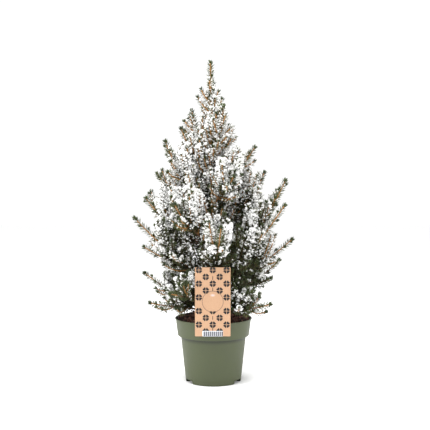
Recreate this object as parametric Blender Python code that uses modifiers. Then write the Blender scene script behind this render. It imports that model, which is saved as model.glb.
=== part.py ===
"""A young dwarf spruce, dusted with snow, in a round plastic nursery pot with a card label.

Metres, +Z up. The origin is on the ground under the middle of the pot, and -Y is the front,
where the label hangs. The trunk stands in the pot, the boughs rise from it in four tiers, and
each bough ends in a mass of foliage: one stem with side shoots, all of them set with needles.
Short masses stand straight on the upper trunk, and the leader goes on from its top.
"""

import math
import random

import bmesh
import bpy
import numpy as np
from mathutils import Matrix, Quaternion, Vector

# Clearance between pieces that touch
GAP = 0.0003

# Pot: the rim is 17 cm across, and the other sizes follow the photograph's proportions
RIM_RADIUS = 0.085
POT_HEIGHT = 0.140
WALL = 0.0017
LIP_HEIGHT = 0.0028
LIP_OVERHANG = 0.0012
BAND_HEIGHT = 0.0385
BAND_FOOT_RADIUS = 0.0788
BODY_TOP_RADIUS = 0.0722
FOOT_RADIUS = 0.0612
FOOT_RING_HEIGHT = 0.0050
FOOT_RING_WIDTH = 0.0040
FLOOR_THICKNESS = 0.0020
POT_SIDES = 36
FOOT_NOTCH_DIRECTIONS = (30, 150, 210, 330)
FOOT_NOTCH_DEGREES = 30
FOOT_NOTCH_HEIGHT = 0.0040
DRAIN_RADIUS = 0.0045
DRAIN_INSET = 0.0126
DRAIN_SIDES = 10

# Bark mulch heaped in the pot
SOIL_EDGE_HEIGHT = 0.1300
SOIL_MIDDLE_HEIGHT = 0.1440
SOIL_SEAT_RADIUS = 0.020
SOIL_RINGS = 6
SOIL_SLOPE_POWER = 1.4
SOIL_ROUGHNESS = 0.0022
SOIL_CLEARANCE = 0.0006

# Card label hung over the rim
LABEL_WIDTH = 0.075
LABEL_HEIGHT = 0.146
LABEL_THICKNESS = 0.0007
LABEL_CORNER = 0.0012
LABEL_MIDDLE_X = -0.0013
LABEL_FOOT_HEIGHT = 0.1138
TONGUE_WIDTH = 0.020
TONGUE_DROP = 0.0080
TONGUE_INSET = 0.0052
TONGUE_SINK = 0.0003

# Trunk
TRUNK_FOOT_RADIUS = 0.0088
TRUNK_FLARE = 0.0046
TRUNK_FLARE_HEIGHT = 0.022
TRUNK_TOP_HEIGHT = 0.550
TRUNK_TOP_RADIUS = 0.0024
TRUNK_RINGS = 12
TREE_HEIGHT = 0.7005
LEAN = -0.0066

# Boughs: each is bare from the trunk to its mass of foliage, whose stem goes on along the same line
BOUGH_RADIUS = 0.0032
BOUGH_END_RADIUS = 0.0019
BOUGH_RINGS = 3
STEM_TIP_RADIUS = 0.0012
MASS_ENTRY = 0.24

# Shoots and their needles, which are larger than life to fill the crown
NEEDLE_OUT = 0.0088
NEEDLE_FORWARD = 0.0066
NEEDLE_UNEVENNESS = 0.18
NEEDLE_STAGGER = 0.0038
NEEDLE_REACH = 0.0112
RING_LENGTH = 0.0146
RING_TWIST = math.radians(37)
SHOOT_RADIUS = 0.0015
SHOOT_TIP_RADIUS = 0.0010
SHOOT_LENGTH = 0.066
SHOOT_SHORTENING = 0.50
SHOOT_STEM_SHARE = 0.42
SHOOT_FORWARD = 0.60
SHOOT_OUT = 0.80
SHOOT_UPTURN = 1.00
SHOOT_TRIES = 24
SHOOTS_PER_MASS = 6
FIRST_SHOOT = 0.014
BARE_TOP_SHARE = 0.27
GOLDEN_ANGLE = math.radians(137.5)
PLACE_STEP = 0.7549
SPACE_STEP = 0.003
LABEL_CLEARANCE = 0.002
POT_CLEARANCE = 0.003

# Tiers from the bottom: the height of the first foot on the trunk, the step up to each next one,
# and the shares of reach and rise at which a bough bends. Then each bough's direction in degrees
# (0 to the right, 90 to the back), its reach and the height of its tip.
TIERS = {
    "skirt": (
        0.1540, 0.0050, 0.50, 0.12,
        ((322, 0.150, 0.182), (205, 0.148, 0.181), (116, 0.156, 0.222), (168, 0.158, 0.234),
         (66, 0.150, 0.232), (18, 0.157, 0.262), (233, 0.146, 0.208)),
    ),
    "lower": (
        0.1920, 0.0075, 0.48, 0.34,
        ((2, 0.174, 0.312), (340, 0.162, 0.389), (84, 0.158, 0.330),
         (197, 0.176, 0.362), (163, 0.164, 0.292), (276, 0.154, 0.346)),
    ),
    "middle": (
        0.2450, 0.0115, 0.66, 0.36,
        ((346, 0.160, 0.442), (40, 0.164, 0.377), (76, 0.142, 0.436),
         (124, 0.144, 0.430), (178, 0.148, 0.403), (236, 0.140, 0.392)),
    ),
    "upper": (
        0.3250, 0.0170, 0.68, 0.36,
        ((4, 0.114, 0.460), (94, 0.112, 0.492), (156, 0.138, 0.458),
         (200, 0.108, 0.526), (292, 0.116, 0.450)),
    ),
}

# Short shoots that stand straight on the upper trunk, with no bough of their own
SHOULDER = (
    0.4300, 0.0200, 0.66, 0.36,
    ((348, 0.094, 0.514), (188, 0.068, 0.556), (52, 0.064, 0.566),
     (150, 0.052, 0.598), (310, 0.038, 0.604)),
)

COLOURS = {
    "pot": ((0.155, 0.195, 0.115), 0.55),
    "soil": ((0.060, 0.028, 0.018), 0.95),
    "label": ((0.800, 0.520, 0.320), 0.70),
    "bark": ((0.190, 0.090, 0.045), 0.90),
    "foliage": ((0.330, 0.390, 0.330), 0.85),
}


def clear_scene():
    for obj in list(bpy.data.objects):
        bpy.data.objects.remove(obj)


def new_collection(name):
    made = bpy.data.collections.new(name)
    bpy.context.scene.collection.children.link(made)
    return made


def make_materials():
    made = {}
    for name, (colour, roughness) in COLOURS.items():
        material = bpy.data.materials.new(name)
        material.use_nodes = True
        shader = material.node_tree.nodes["Principled BSDF"]
        shader.inputs["Base Color"].default_value = (*colour, 1)
        shader.inputs["Roughness"].default_value = roughness
        shader.inputs["Metallic"].default_value = 0
        material.diffuse_color = (*colour, 1)
        made[name] = material
    return made


def add_object(name, data, collection, material=None):
    obj = bpy.data.objects.new(name, data)
    collection.objects.link(obj)
    if material:
        data.materials.clear()
        data.materials.append(material)
    return obj


def take_new_object(name, collection):
    """Names the primitive that was just added, and moves it to a collection."""
    obj = bpy.context.object
    obj.name = name
    for owner in list(obj.users_collection):
        owner.objects.unlink(obj)
    collection.objects.link(obj)
    return obj


def add_boolean(obj, operation, helper):
    """Cuts or joins an object with a helper, which is hidden from renders."""
    helper.hide_render = True
    helper.display_type = "WIRE"
    modifier = obj.modifiers.new(operation.title(), "BOOLEAN")
    modifier.operation = operation
    modifier.object = helper
    modifier.solver = "EXACT"


def evaluated_mesh(obj):
    bpy.context.view_layer.update()
    graph = bpy.context.evaluated_depsgraph_get()
    return bpy.data.meshes.new_from_object(obj.evaluated_get(graph))


def welded_mesh(curve_object):
    """A closed mesh from a curve object, which is removed."""
    mesh = evaluated_mesh(curve_object)
    bpy.data.objects.remove(curve_object)
    work = bmesh.new()
    work.from_mesh(mesh)
    bmesh.ops.remove_doubles(work, verts=work.verts, dist=0.00001)
    bmesh.ops.recalc_face_normals(work, faces=work.faces)
    work.to_mesh(mesh)
    work.free()
    return mesh


def turned_mesh(name, profile):
    """A closed turned mesh from a profile of (radius, height) points that starts and ends on the axis."""
    mesh = bpy.data.meshes.new(name)
    points = [(radius, 0, height) for radius, height in profile]
    mesh.from_pydata(points, [(i, i + 1) for i in range(len(points) - 1)], [])
    obj = add_object(name, mesh, bpy.context.scene.collection)
    screw = obj.modifiers.new("Screw", "SCREW")
    screw.steps = screw.render_steps = POT_SIDES
    screw.use_merge_vertices = True
    screw.merge_threshold = 0.0001
    turned = evaluated_mesh(obj)
    bpy.data.objects.remove(obj)
    return turned


def pot_wall_radius(height):
    """The inner radius of the pot's wall at a height above the ground."""
    if height > POT_HEIGHT - BAND_HEIGHT:
        share = (height - POT_HEIGHT + BAND_HEIGHT) / BAND_HEIGHT
        outer = BAND_FOOT_RADIUS + share * (RIM_RADIUS - LIP_OVERHANG - BAND_FOOT_RADIUS)
    else:
        share = height / (POT_HEIGHT - BAND_HEIGHT)
        outer = FOOT_RADIUS + share * (BODY_TOP_RADIUS - FOOT_RADIUS)
    return outer - WALL


def make_pot(collection, helpers, material):
    """A turned shell: lip, band, step, tapering body, raised floor, and a notched foot ring with drains."""
    step = POT_HEIGHT - BAND_HEIGHT
    floor_top = FOOT_RING_HEIGHT + FLOOR_THICKNESS
    lip_foot = POT_HEIGHT - LIP_HEIGHT
    profile = [
        (0, floor_top),
        (pot_wall_radius(floor_top), floor_top),
        (BODY_TOP_RADIUS - WALL, step + WALL),
        (BAND_FOOT_RADIUS - WALL, step + 2 * WALL),
        (pot_wall_radius(lip_foot), lip_foot),
        (RIM_RADIUS - LIP_OVERHANG - WALL, POT_HEIGHT - WALL / 3),
        (RIM_RADIUS - WALL, POT_HEIGHT),
        (RIM_RADIUS - WALL / 3, POT_HEIGHT),
        (RIM_RADIUS, POT_HEIGHT - WALL / 3),
        (RIM_RADIUS - WALL / 4, lip_foot),
        (RIM_RADIUS - LIP_OVERHANG - WALL / 4, lip_foot - WALL / 3),
        (BAND_FOOT_RADIUS, step + WALL / 2),
        (BAND_FOOT_RADIUS - WALL / 2, step),
        (BODY_TOP_RADIUS, step),
        (FOOT_RADIUS, WALL / 2),
        (FOOT_RADIUS - WALL / 2, 0),
        (FOOT_RADIUS - FOOT_RING_WIDTH, 0),
        (FOOT_RADIUS - FOOT_RING_WIDTH, FOOT_RING_HEIGHT),
        (0, FOOT_RING_HEIGHT),
    ]
    pot = add_object("pot", turned_mesh("pot", profile), collection, material)
    for degrees in FOOT_NOTCH_DIRECTIONS:
        cut_notch_and_drain(pot, degrees, helpers)


def cut_notch_and_drain(pot, degrees, helpers):
    """A low arch in the foot ring, and a round drain through the floor behind it."""
    angle = math.radians(degrees)
    out = Vector((math.cos(angle), math.sin(angle), 0))
    notch_width = 2 * FOOT_RADIUS * math.sin(math.radians(FOOT_NOTCH_DEGREES / 2))
    bpy.ops.mesh.primitive_cube_add(size=1, location=out * FOOT_RADIUS, rotation=(0, 0, angle))
    notch = take_new_object(f"foot_notch_{degrees}", helpers)
    notch.scale = (FOOT_RING_WIDTH * 4, notch_width, FOOT_NOTCH_HEIGHT * 2)
    add_boolean(pot, "DIFFERENCE", notch)
    middle = out * (FOOT_RADIUS - DRAIN_INSET)
    middle.z = FOOT_RING_HEIGHT
    bpy.ops.mesh.primitive_cylinder_add(
        vertices=DRAIN_SIDES, radius=DRAIN_RADIUS, depth=FLOOR_THICKNESS * 4, location=middle
    )
    add_boolean(pot, "DIFFERENCE", take_new_object(f"drain_{degrees}", helpers))


def make_soil(collection, material):
    """Compost that fills the pot and a rough heap of bark mulch on it, flat where the trunk stands."""
    floor = FOOT_RING_HEIGHT + FLOOR_THICKNESS + GAP
    step = POT_HEIGHT - BAND_HEIGHT
    edge = pot_wall_radius(SOIL_EDGE_HEIGHT) - SOIL_CLEARANCE
    rise = SOIL_MIDDLE_HEIGHT - SOIL_EDGE_HEIGHT
    profile = [(0, SOIL_MIDDLE_HEIGHT)]
    for i in range(SOIL_RINGS + 1):
        share = i / SOIL_RINGS
        radius = SOIL_SEAT_RADIUS + share * (edge - SOIL_SEAT_RADIUS)
        profile.append((radius, SOIL_MIDDLE_HEIGHT - rise * share**SOIL_SLOPE_POWER))
    profile += [
        (BAND_FOOT_RADIUS - WALL - SOIL_CLEARANCE, step + 2 * WALL + SOIL_CLEARANCE),
        (BODY_TOP_RADIUS - WALL - SOIL_CLEARANCE, step + WALL + GAP),
        (pot_wall_radius(floor) - SOIL_CLEARANCE, floor),
        (0, floor),
    ]
    mesh = turned_mesh("soil", profile)
    dice = random.Random(17)
    for vertex in mesh.vertices:
        on_heap = vertex.co.z > SOIL_EDGE_HEIGHT + GAP
        if on_heap and math.hypot(vertex.co.x, vertex.co.y) > SOIL_SEAT_RADIUS + GAP:
            vertex.co.z += dice.uniform(-SOIL_ROUGHNESS, SOIL_ROUGHNESS)
    add_object("soil", mesh, collection, material)


def make_label(collection, helpers, material):
    """An upright card in front of the rim, joined to the tongue that hooks over the rim."""
    place = (
        LABEL_MIDDLE_X,
        -RIM_RADIUS - GAP - LABEL_THICKNESS / 2,
        LABEL_FOOT_HEIGHT + LABEL_HEIGHT / 2,
    )
    bpy.ops.mesh.primitive_cube_add(size=1, location=place)
    card = take_new_object("label", collection)
    card.scale = (LABEL_WIDTH, LABEL_THICKNESS, LABEL_HEIGHT)
    bpy.ops.object.transform_apply(location=False, rotation=False, scale=True)
    card.data.materials.append(material)
    work = bmesh.new()
    work.from_mesh(card.data)
    corners = [e for e in work.edges if abs(e.verts[0].co.y - e.verts[1].co.y) > LABEL_THICKNESS / 2]
    bmesh.ops.bevel(work, geom=corners, offset=LABEL_CORNER, segments=2, affect="EDGES", profile=0.5)
    work.to_mesh(card.data)
    work.free()
    add_boolean(card, "UNION", make_tongue(helpers))


def make_tongue(helpers):
    """A strip that leaves the card just above the rim, crosses it and goes down inside the pot."""
    back = -RIM_RADIUS - GAP - TONGUE_SINK
    inside = -RIM_RADIUS + TONGUE_INSET
    under = POT_HEIGHT + GAP
    corners = (
        (back, under),
        (inside, under),
        (inside, under - TONGUE_DROP),
        (inside + LABEL_THICKNESS, under - TONGUE_DROP),
        (inside + LABEL_THICKNESS, under + LABEL_THICKNESS),
        (back, under + LABEL_THICKNESS),
    )
    curve = bpy.data.curves.new("tongue", "CURVE")
    curve.dimensions = "2D"
    curve.fill_mode = "BOTH"
    curve.extrude = TONGUE_WIDTH / 2
    spline = curve.splines.new("POLY")
    spline.points.add(len(corners) - 1)
    for point, (depth, height) in zip(spline.points, corners):
        point.co = (depth, height, 0, 1)
    spline.use_cyclic_u = True
    mesh = welded_mesh(add_object("tongue", curve, helpers))
    tongue = add_object("tongue", mesh, helpers)
    tongue.matrix_world = Matrix(((0, 0, 1, LABEL_MIDDLE_X), (1, 0, 0, 0), (0, 1, 0, 0), (0, 0, 0, 1)))
    return tongue


def trunk_axis(height):
    """The middle of the trunk at a height: upright below, leaning a little to the left at the tip."""
    share = max(0, (height - SOIL_MIDDLE_HEIGHT) / (TREE_HEIGHT - SOIL_MIDDLE_HEIGHT))
    return Vector((LEAN * share**1.5, 0, height))


def trunk_radius(height):
    above = height - SOIL_MIDDLE_HEIGHT - GAP
    share = above / (TRUNK_TOP_HEIGHT - SOIL_MIDDLE_HEIGHT)
    taper = TRUNK_FOOT_RADIUS + share * (TRUNK_TOP_RADIUS - TRUNK_FOOT_RADIUS)
    flare = TRUNK_FLARE * max(0, 1 - above / TRUNK_FLARE_HEIGHT) ** 2
    return taper + flare


def limb_mesh(name, points, radii):
    """A tapering six-sided tube through the points, with closed ends."""
    curve = bpy.data.curves.new(name, "CURVE")
    curve.dimensions = "3D"
    curve.bevel_depth = 1
    curve.bevel_resolution = 1
    curve.use_fill_caps = True
    spline = curve.splines.new("POLY")
    spline.points.add(len(points) - 1)
    for point, place, radius in zip(spline.points, points, radii):
        point.co = (*place, 1)
        point.radius = radius
    return welded_mesh(add_object(name, curve, bpy.context.scene.collection))


def make_trunk(collection, helpers, material):
    """The trunk. Returns a copy grown by the gap, which cuts each bough's foot clear of it."""
    foot = SOIL_MIDDLE_HEIGHT + GAP
    rise = TRUNK_TOP_HEIGHT - foot
    heights = [foot + rise * (i / TRUNK_RINGS) ** 1.5 for i in range(TRUNK_RINGS + 1)]
    points = [trunk_axis(height) for height in heights]
    radii = [trunk_radius(height) for height in heights]
    add_object("trunk", limb_mesh("trunk", points, radii), collection, material)
    wider = [radius + GAP for radius in radii]
    return add_object("trunk_clearance", limb_mesh("trunk_clearance", points, wider), helpers)


class Path:
    """The line of a bough or shoot, which bends once on the way from its foot to its tip."""

    def __init__(self, foot, bend, tip):
        self.foot, self.bend, self.tip = foot, bend, tip
        self.length = sum((self.at((i + 1) / 20) - self.at(i / 20)).length for i in range(20))

    def at(self, share):
        before = self.foot.lerp(self.bend, share)
        after = self.bend.lerp(self.tip, share)
        return before.lerp(after, share)

    def ahead(self, share):
        return (self.at(share + 0.01) - self.at(share - 0.01)).normalized()

    def points(self, start, end, spacing=SPACE_STEP):
        count = max(1, math.ceil((end - start) * self.length / spacing))
        return [self.at(start + (end - start) * i / count) for i in range(count + 1)]


def bough_path(foot_height, degrees, reach, tip_height, bend_out, bend_up):
    """A bough's line from the trunk's middle: low at first, then upward to the tip of its foliage."""
    direction = math.radians(degrees)
    out = Vector((math.cos(direction), math.sin(direction), 0)) * reach
    foot = trunk_axis(foot_height)
    rise = Vector((0, 0, tip_height - foot_height))
    return Path(foot, foot + out * bend_out + rise * bend_up, foot + out + rise)


def plan_crown():
    """Every mass: its name, its line, the share of the line at which it starts, and its root's radius.

    A bough takes up the line's first part, except on the shoulder, whose masses start inside the
    trunk and are cut clear of it, and on the leader, which starts on the trunk's end.
    """
    plan = []
    for tier, start in [(tier, MASS_ENTRY) for tier in TIERS] + [("shoulder", 0)]:
        foot, step, bend_out, bend_up, rows = TIERS.get(tier, SHOULDER)
        for i, (degrees, reach, tip_height) in enumerate(rows):
            path = bough_path(foot + step * i, degrees, reach, tip_height, bend_out, bend_up)
            plan.append((f"{tier}_{i + 1}", path, start, BOUGH_END_RADIUS))
    foot, tip = trunk_axis(TRUNK_TOP_HEIGHT), trunk_axis(TREE_HEIGHT)
    leader = Path(foot, foot.lerp(tip, 0.5), tip)
    plan.append(("leader", leader, GAP / leader.length, TRUNK_TOP_RADIUS))
    return plan


def make_bough(name, path, collection, trunk_cutter, material):
    """A bough: one limb that tapers from inside the trunk, cut clear of it, to just short of its mass."""
    end = MASS_ENTRY - GAP / path.length
    points, radii = [], []
    for i in range(BOUGH_RINGS + 1):
        share = i / BOUGH_RINGS
        points.append(path.at(share * end))
        radii.append(BOUGH_RADIUS + share * (BOUGH_END_RADIUS - BOUGH_RADIUS))
    bough = add_object(name, limb_mesh(name, points, radii), collection, material)
    add_boolean(bough, "DIFFERENCE", trunk_cutter)


class TakenSpace:
    """Points along every limb and shoot already placed, with the radius that each one keeps free."""

    def __init__(self):
        self.places = np.empty((0, 3))
        self.radii = np.empty(0)
        self.owners = np.empty(0, int)

    def add(self, points, radius, owner):
        self.places = np.vstack([self.places, np.array(points)])
        self.radii = np.concatenate([self.radii, np.full(len(points), radius)])
        self.owners = np.concatenate([self.owners, np.full(len(points), owner)])

    def is_free(self, points, radius, owner):
        others = self.owners != owner
        if not others.any():
            return True
        away = np.linalg.norm(np.array(points)[:, None] - self.places[others][None], axis=2)
        return bool((away > radius + self.radii[others][None]).all())


def hides_label(points):
    """Whether a shoot would come through the label or in front of it."""
    for point in points:
        beside = abs(point.x - LABEL_MIDDLE_X) - LABEL_WIDTH / 2 - NEEDLE_REACH
        above = point.z - LABEL_FOOT_HEIGHT - LABEL_HEIGHT - NEEDLE_REACH
        behind = point.y + RIM_RADIUS - NEEDLE_REACH - LABEL_CLEARANCE
        if beside < 0 and above < 0 and behind < 0:
            return True
    return False


def touches_pot(points):
    """Whether a shoot would reach down into the pot, its rim or the mulch."""
    lowest = POT_HEIGHT + NEEDLE_REACH + POT_CLEARANCE
    widest = RIM_RADIUS + NEEDLE_REACH
    return any(point.z < lowest and math.hypot(point.x, point.y) < widest for point in points)


def shoot_mesh(path, start, root_radius, tip_radius, dice):
    """A slim three-sided core along a path, with its sides drawn out into needles past the first ring."""
    line = path.points(start, 1, 0.002)
    length = sum((b - a).length for a, b in zip(line, line[1:]))
    rings = max(2, round(length / RING_LENGTH))
    ring = length / rings
    work = bmesh.new()
    bmesh.ops.create_cone(
        work, cap_ends=True, segments=3, radius1=root_radius, radius2=tip_radius, depth=length
    )
    bmesh.ops.translate(work, verts=work.verts, vec=(0, 0, length / 2))
    edges = [e for e in work.edges if abs(e.verts[0].co.z - e.verts[1].co.z) > length / 2]
    bmesh.ops.subdivide_edges(work, edges=edges, cuts=rings - 1)
    sides = [f for f in work.faces if len(f.verts) == 4 and f.calc_center_median().z > ring]
    for needle in bmesh.ops.poke(work, faces=sides)["verts"]:
        out = Vector((needle.co.x, needle.co.y, 0)).normalized()
        aside = Vector((-out.y, out.x, 0))
        side = (math.atan2(out.y, out.x) + math.pi / 6) % math.tau // (math.tau / 3)
        uneven = [dice.uniform(-NEEDLE_UNEVENNESS, NEEDLE_UNEVENNESS) for _ in range(3)]
        needle.co += out * NEEDLE_OUT * (1 + uneven[0]) + aside * NEEDLE_OUT * uneven[1]
        needle.co.z += NEEDLE_FORWARD * (1 + uneven[2]) + NEEDLE_STAGGER * (side - 1)
    tip_face = max(work.faces, key=lambda f: min(v.co.z for v in f.verts) if len(f.verts) == 3 else 0)
    for bud in bmesh.ops.poke(work, faces=[tip_face])["verts"]:
        bud.co.z += NEEDLE_FORWARD
    lay_along(work, line, length)
    mesh = bpy.data.meshes.new("shoot")
    work.to_mesh(mesh)
    work.free()
    return mesh


def lay_along(work, line, length):
    """Lays a mesh that stands on +Z along a line, with a slow twist so that the needles spiral."""
    steps = len(line) - 1
    side = (line[1] - line[0]).orthogonal().normalized()
    for vertex in work.verts:
        share = min(max(vertex.co.z / length, 0), 1)
        index = min(int(share * steps), steps - 1)
        ahead = (line[index + 1] - line[index]).normalized()
        across = (side - ahead * side.dot(ahead)).normalized()
        upright = ahead.cross(across)
        base = line[index].lerp(line[index + 1], share * steps - index)
        turn = Quaternion((0, 0, 1), RING_TWIST * vertex.co.z / RING_LENGTH)
        around = turn @ Vector((vertex.co.x, vertex.co.y, 0))
        beyond = max(vertex.co.z - length, 0)
        vertex.co = base + across * around.x + upright * around.y + ahead * beyond


def side_shoots(stem, start, dice):
    """Places for shoots, spread evenly along the stem and spiralling round it by the golden angle.

    Each leans forward from the stem and then turns upward, and those near the tip are shorter.
    """
    first = start + FIRST_SHOOT / stem.length
    last = 1 - BARE_TOP_SHARE
    angle = dice.uniform(0, math.tau)
    along = 0
    for _ in range(SHOOT_TRIES):
        root = stem.at(first + (last - first) * along)
        ahead = stem.ahead(first + (last - first) * along)
        side = Quaternion(ahead, angle) @ ahead.orthogonal().normalized()
        leave = (ahead * SHOOT_FORWARD + side * SHOOT_OUT).normalized()
        rise = (leave + Vector((0, 0, SHOOT_UPTURN))).normalized()
        length = SHOOT_LENGTH * (1 - SHOOT_SHORTENING * along) * dice.uniform(0.85, 1.10)
        half = min(length, stem.length * SHOOT_STEM_SHARE) / 2
        yield Path(root, root + leave * half, root + (leave + rise) * half)
        angle += GOLDEN_ANGLE
        along = (along + PLACE_STEP) % 1


def make_mass(name, stem, start, root_radius, owner, taken, collection, helpers, material):
    """One mass of foliage: a stem and the side shoots that find free space, still to be fused."""
    dice = random.Random(100 + owner)
    mass = add_object(name, shoot_mesh(stem, start, root_radius, STEM_TIP_RADIUS, dice), collection, material)
    shoots = bpy.data.collections.new(f"{name}_shoots")
    helpers.children.link(shoots)
    for path in side_shoots(stem, start, dice):
        beyond_root = path.points(NEEDLE_REACH / path.length, 1)
        if (
            len(shoots.objects) < SHOOTS_PER_MASS
            and not hides_label(beyond_root)
            and not touches_pot(beyond_root)
            and taken.is_free(beyond_root, NEEDLE_REACH, owner)
        ):
            add_object("shoot", shoot_mesh(path, 0, SHOOT_RADIUS, SHOOT_TIP_RADIUS, dice), shoots)
            taken.add(beyond_root, NEEDLE_REACH, owner)
    return mass, shoots


def fuse(mass, shoots):
    """Joins the shoots to their stem with one Boolean union, and clears their objects away."""
    union = mass.modifiers.new("Union", "BOOLEAN")
    union.operation = "UNION"
    union.operand_type = "COLLECTION"
    union.collection = shoots
    union.solver = "EXACT"
    mass.data = keep_outer_shell(evaluated_mesh(mass))
    mass.modifiers.clear()
    for shoot in list(shoots.objects):
        bpy.data.objects.remove(shoot)
    bpy.data.collections.remove(shoots)


def keep_outer_shell(mesh):
    """The mesh's largest connected shell: hollows are filled, slits closed and loose scraps dropped."""
    work = bmesh.new()
    work.from_mesh(mesh)
    bmesh.ops.dissolve_degenerate(work, edges=work.edges, dist=0.000002)
    shells = []
    unseen = set(work.faces)
    while unseen:
        shell, spreading = set(), [unseen.pop()]
        while spreading:
            face = spreading.pop()
            shell.add(face)
            beside = {near for edge in face.edges for near in edge.link_faces} & unseen
            unseen -= beside
            spreading += beside
        shells.append(shell)
    largest = max(shells, key=len)
    bmesh.ops.delete(work, geom=[face for face in work.faces if face not in largest], context="FACES")
    slits = [edge for edge in work.edges if edge.is_boundary]
    bmesh.ops.holes_fill(work, edges=slits, sides=4)
    work.to_mesh(mesh)
    work.free()
    return mesh


def main():
    clear_scene()
    spruce = new_collection("potted_spruce")
    helpers = new_collection("helpers")
    helpers.hide_render = True
    materials = make_materials()
    make_pot(spruce, helpers, materials["pot"])
    make_soil(spruce, materials["soil"])
    make_label(spruce, helpers, materials["label"])
    trunk_cutter = make_trunk(spruce, helpers, materials["bark"])

    crown = plan_crown()
    taken = TakenSpace()
    for height in np.arange(SOIL_MIDDLE_HEIGHT, TRUNK_TOP_HEIGHT, SPACE_STEP):
        taken.add([trunk_axis(height)], trunk_radius(height) + GAP, -1)
    for owner, (name, path, start, _) in enumerate(crown):
        if start == MASS_ENTRY:
            make_bough(f"bough_{name}", path, spruce, trunk_cutter, materials["bark"])
            clear_of_trunk = trunk_radius(path.foot.z) / path.length
            taken.add(path.points(clear_of_trunk, MASS_ENTRY), BOUGH_RADIUS + GAP, -2 - owner)
        taken.add(path.points(start + RING_LENGTH / path.length, 1), NEEDLE_REACH, owner)
    for owner, (name, path, start, root_radius) in enumerate(crown):
        name = f"foliage_{name}"
        foliage = materials["foliage"]
        mass, shoots = make_mass(name, path, start, root_radius, owner, taken, spruce, helpers, foliage)
        fuse(mass, shoots)
        if start == 0:
            add_boolean(mass, "DIFFERENCE", trunk_cutter)


main()
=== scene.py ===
"""Looks of a young dwarf spruce, dusted with snow, in a nursery pot with a card label.

Metres, +Z up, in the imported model's frame, with the label at the front on -Y.
"""

import math
import random

import bpy
import numpy as np
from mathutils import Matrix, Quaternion, Vector, noise


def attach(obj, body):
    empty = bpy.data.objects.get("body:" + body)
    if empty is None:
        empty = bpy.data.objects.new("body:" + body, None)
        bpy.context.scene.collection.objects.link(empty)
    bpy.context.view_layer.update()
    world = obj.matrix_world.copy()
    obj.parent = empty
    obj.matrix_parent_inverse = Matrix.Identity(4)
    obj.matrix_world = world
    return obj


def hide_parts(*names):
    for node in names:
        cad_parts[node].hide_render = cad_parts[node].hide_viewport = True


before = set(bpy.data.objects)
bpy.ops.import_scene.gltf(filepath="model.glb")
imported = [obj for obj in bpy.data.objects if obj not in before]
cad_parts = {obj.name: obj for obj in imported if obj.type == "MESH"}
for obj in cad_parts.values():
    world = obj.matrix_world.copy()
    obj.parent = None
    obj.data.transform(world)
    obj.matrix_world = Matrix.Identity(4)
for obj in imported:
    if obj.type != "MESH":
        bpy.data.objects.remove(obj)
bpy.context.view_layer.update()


# The studio. A white sweep under an even white surround, lit by a broad soft lamp high in front on
# the left and by a weaker one low on each side. The camera stands 1.7 m in front, a little above
# the plant's middle, and is tipped slightly down.
CAMERA_PLACE, CAMERA_TURN, CAMERA_LENS = (0.0035, -1.714, 0.429), math.radians(87.93), 64.97
SURROUND_LIGHT, SURROUND_SEEN = 0.60, 1.05
GLOW_START, GLOW_FULL, GLOW_STRENGTH = 0.050, 0.108, 0.42


def set_inputs(node, values):
    """Sets a node's inputs by name."""
    for name, value in values.items():
        node.inputs[name].default_value = value


def ramp(tree, value, low, high, start, end, smooth=False):
    """The output of a node that goes from start to end while the value goes from low to high."""
    spread = tree.nodes.new("ShaderNodeMapRange")
    if smooth:
        spread.interpolation_type = "SMOOTHSTEP"
    set_inputs(spread, {"From Min": low, "From Max": high, "To Min": start, "To Max": end})
    tree.links.new(value, spread.inputs["Value"])
    return spread.outputs["Result"]


bpy.ops.object.select_all(action="DESELECT")
bpy.ops.object.camera_add(location=CAMERA_PLACE, rotation=(CAMERA_TURN, 0, 0))
camera = bpy.context.object
camera.data.sensor_width = 36
camera.data.lens = CAMERA_LENS
camera.data.clip_start = 0.05
bpy.context.scene.camera = camera

for place, aim, width, watts in (
    ((-0.35, -0.75, 2.2), (0, 0, 0.35), 1.2, 43),
    ((-1.9, -0.5, 0.9), (0, 0, 0.30), 1.0, 26),
    ((1.9, -0.4, 0.9), (0, 0, 0.30), 1.0, 17),
):
    bpy.ops.object.select_all(action="DESELECT")
    turn = (Vector(aim) - Vector(place)).to_track_quat("-Z", "Y").to_euler()
    bpy.ops.object.light_add(type="AREA", location=place, rotation=turn)
    lamp = bpy.context.object
    lamp.data.shape = "SQUARE"
    lamp.data.size = width
    lamp.data.energy = watts

surround = bpy.data.worlds.new("surround")
surround.use_nodes = True
nodes, links = surround.node_tree.nodes, surround.node_tree.links
nodes["Background"].inputs["Color"].default_value = (1, 1, 1, 1)
rays = nodes.new("ShaderNodeLightPath")
is_seen = rays.outputs["Is Camera Ray"]
strength = ramp(surround.node_tree, is_seen, 0, 1, SURROUND_LIGHT, SURROUND_SEEN)
links.new(strength, nodes["Background"].inputs["Strength"])
bpy.context.scene.world = surround
bpy.context.scene.view_settings.view_transform = "Standard"

# The floor glows a little away from the pot's foot, so that no horizon shows.
bpy.ops.object.select_all(action="DESELECT")
bpy.ops.mesh.primitive_plane_add(size=14, location=(0, 0, 0))
floor = bpy.context.object
floor.name = "floor"
floor_paint = bpy.data.materials.new("floor_white")
floor_paint.use_nodes = True
nodes, links = floor_paint.node_tree.nodes, floor_paint.node_tree.links
shader = nodes["Principled BSDF"]
set_inputs(shader, {"Base Color": (0.94, 0.94, 0.94, 1), "Roughness": 0.9, "Emission Color": (1, 1, 1, 1)})
floor_place = nodes.new("ShaderNodeTexCoord")
from_pot = nodes.new("ShaderNodeVectorMath")
from_pot.operation = "LENGTH"
links.new(floor_place.outputs["Object"], from_pot.inputs[0])
distance = from_pot.outputs["Value"]
# The glow fades out toward the pot, which paints a soft shadow round and under its foot.
glow = ramp(floor_paint.node_tree, distance, GLOW_START, GLOW_FULL, 0, GLOW_STRENGTH, smooth=True)
links.new(glow, shader.inputs["Emission Strength"])
floor.data.materials.append(floor_paint)


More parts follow.
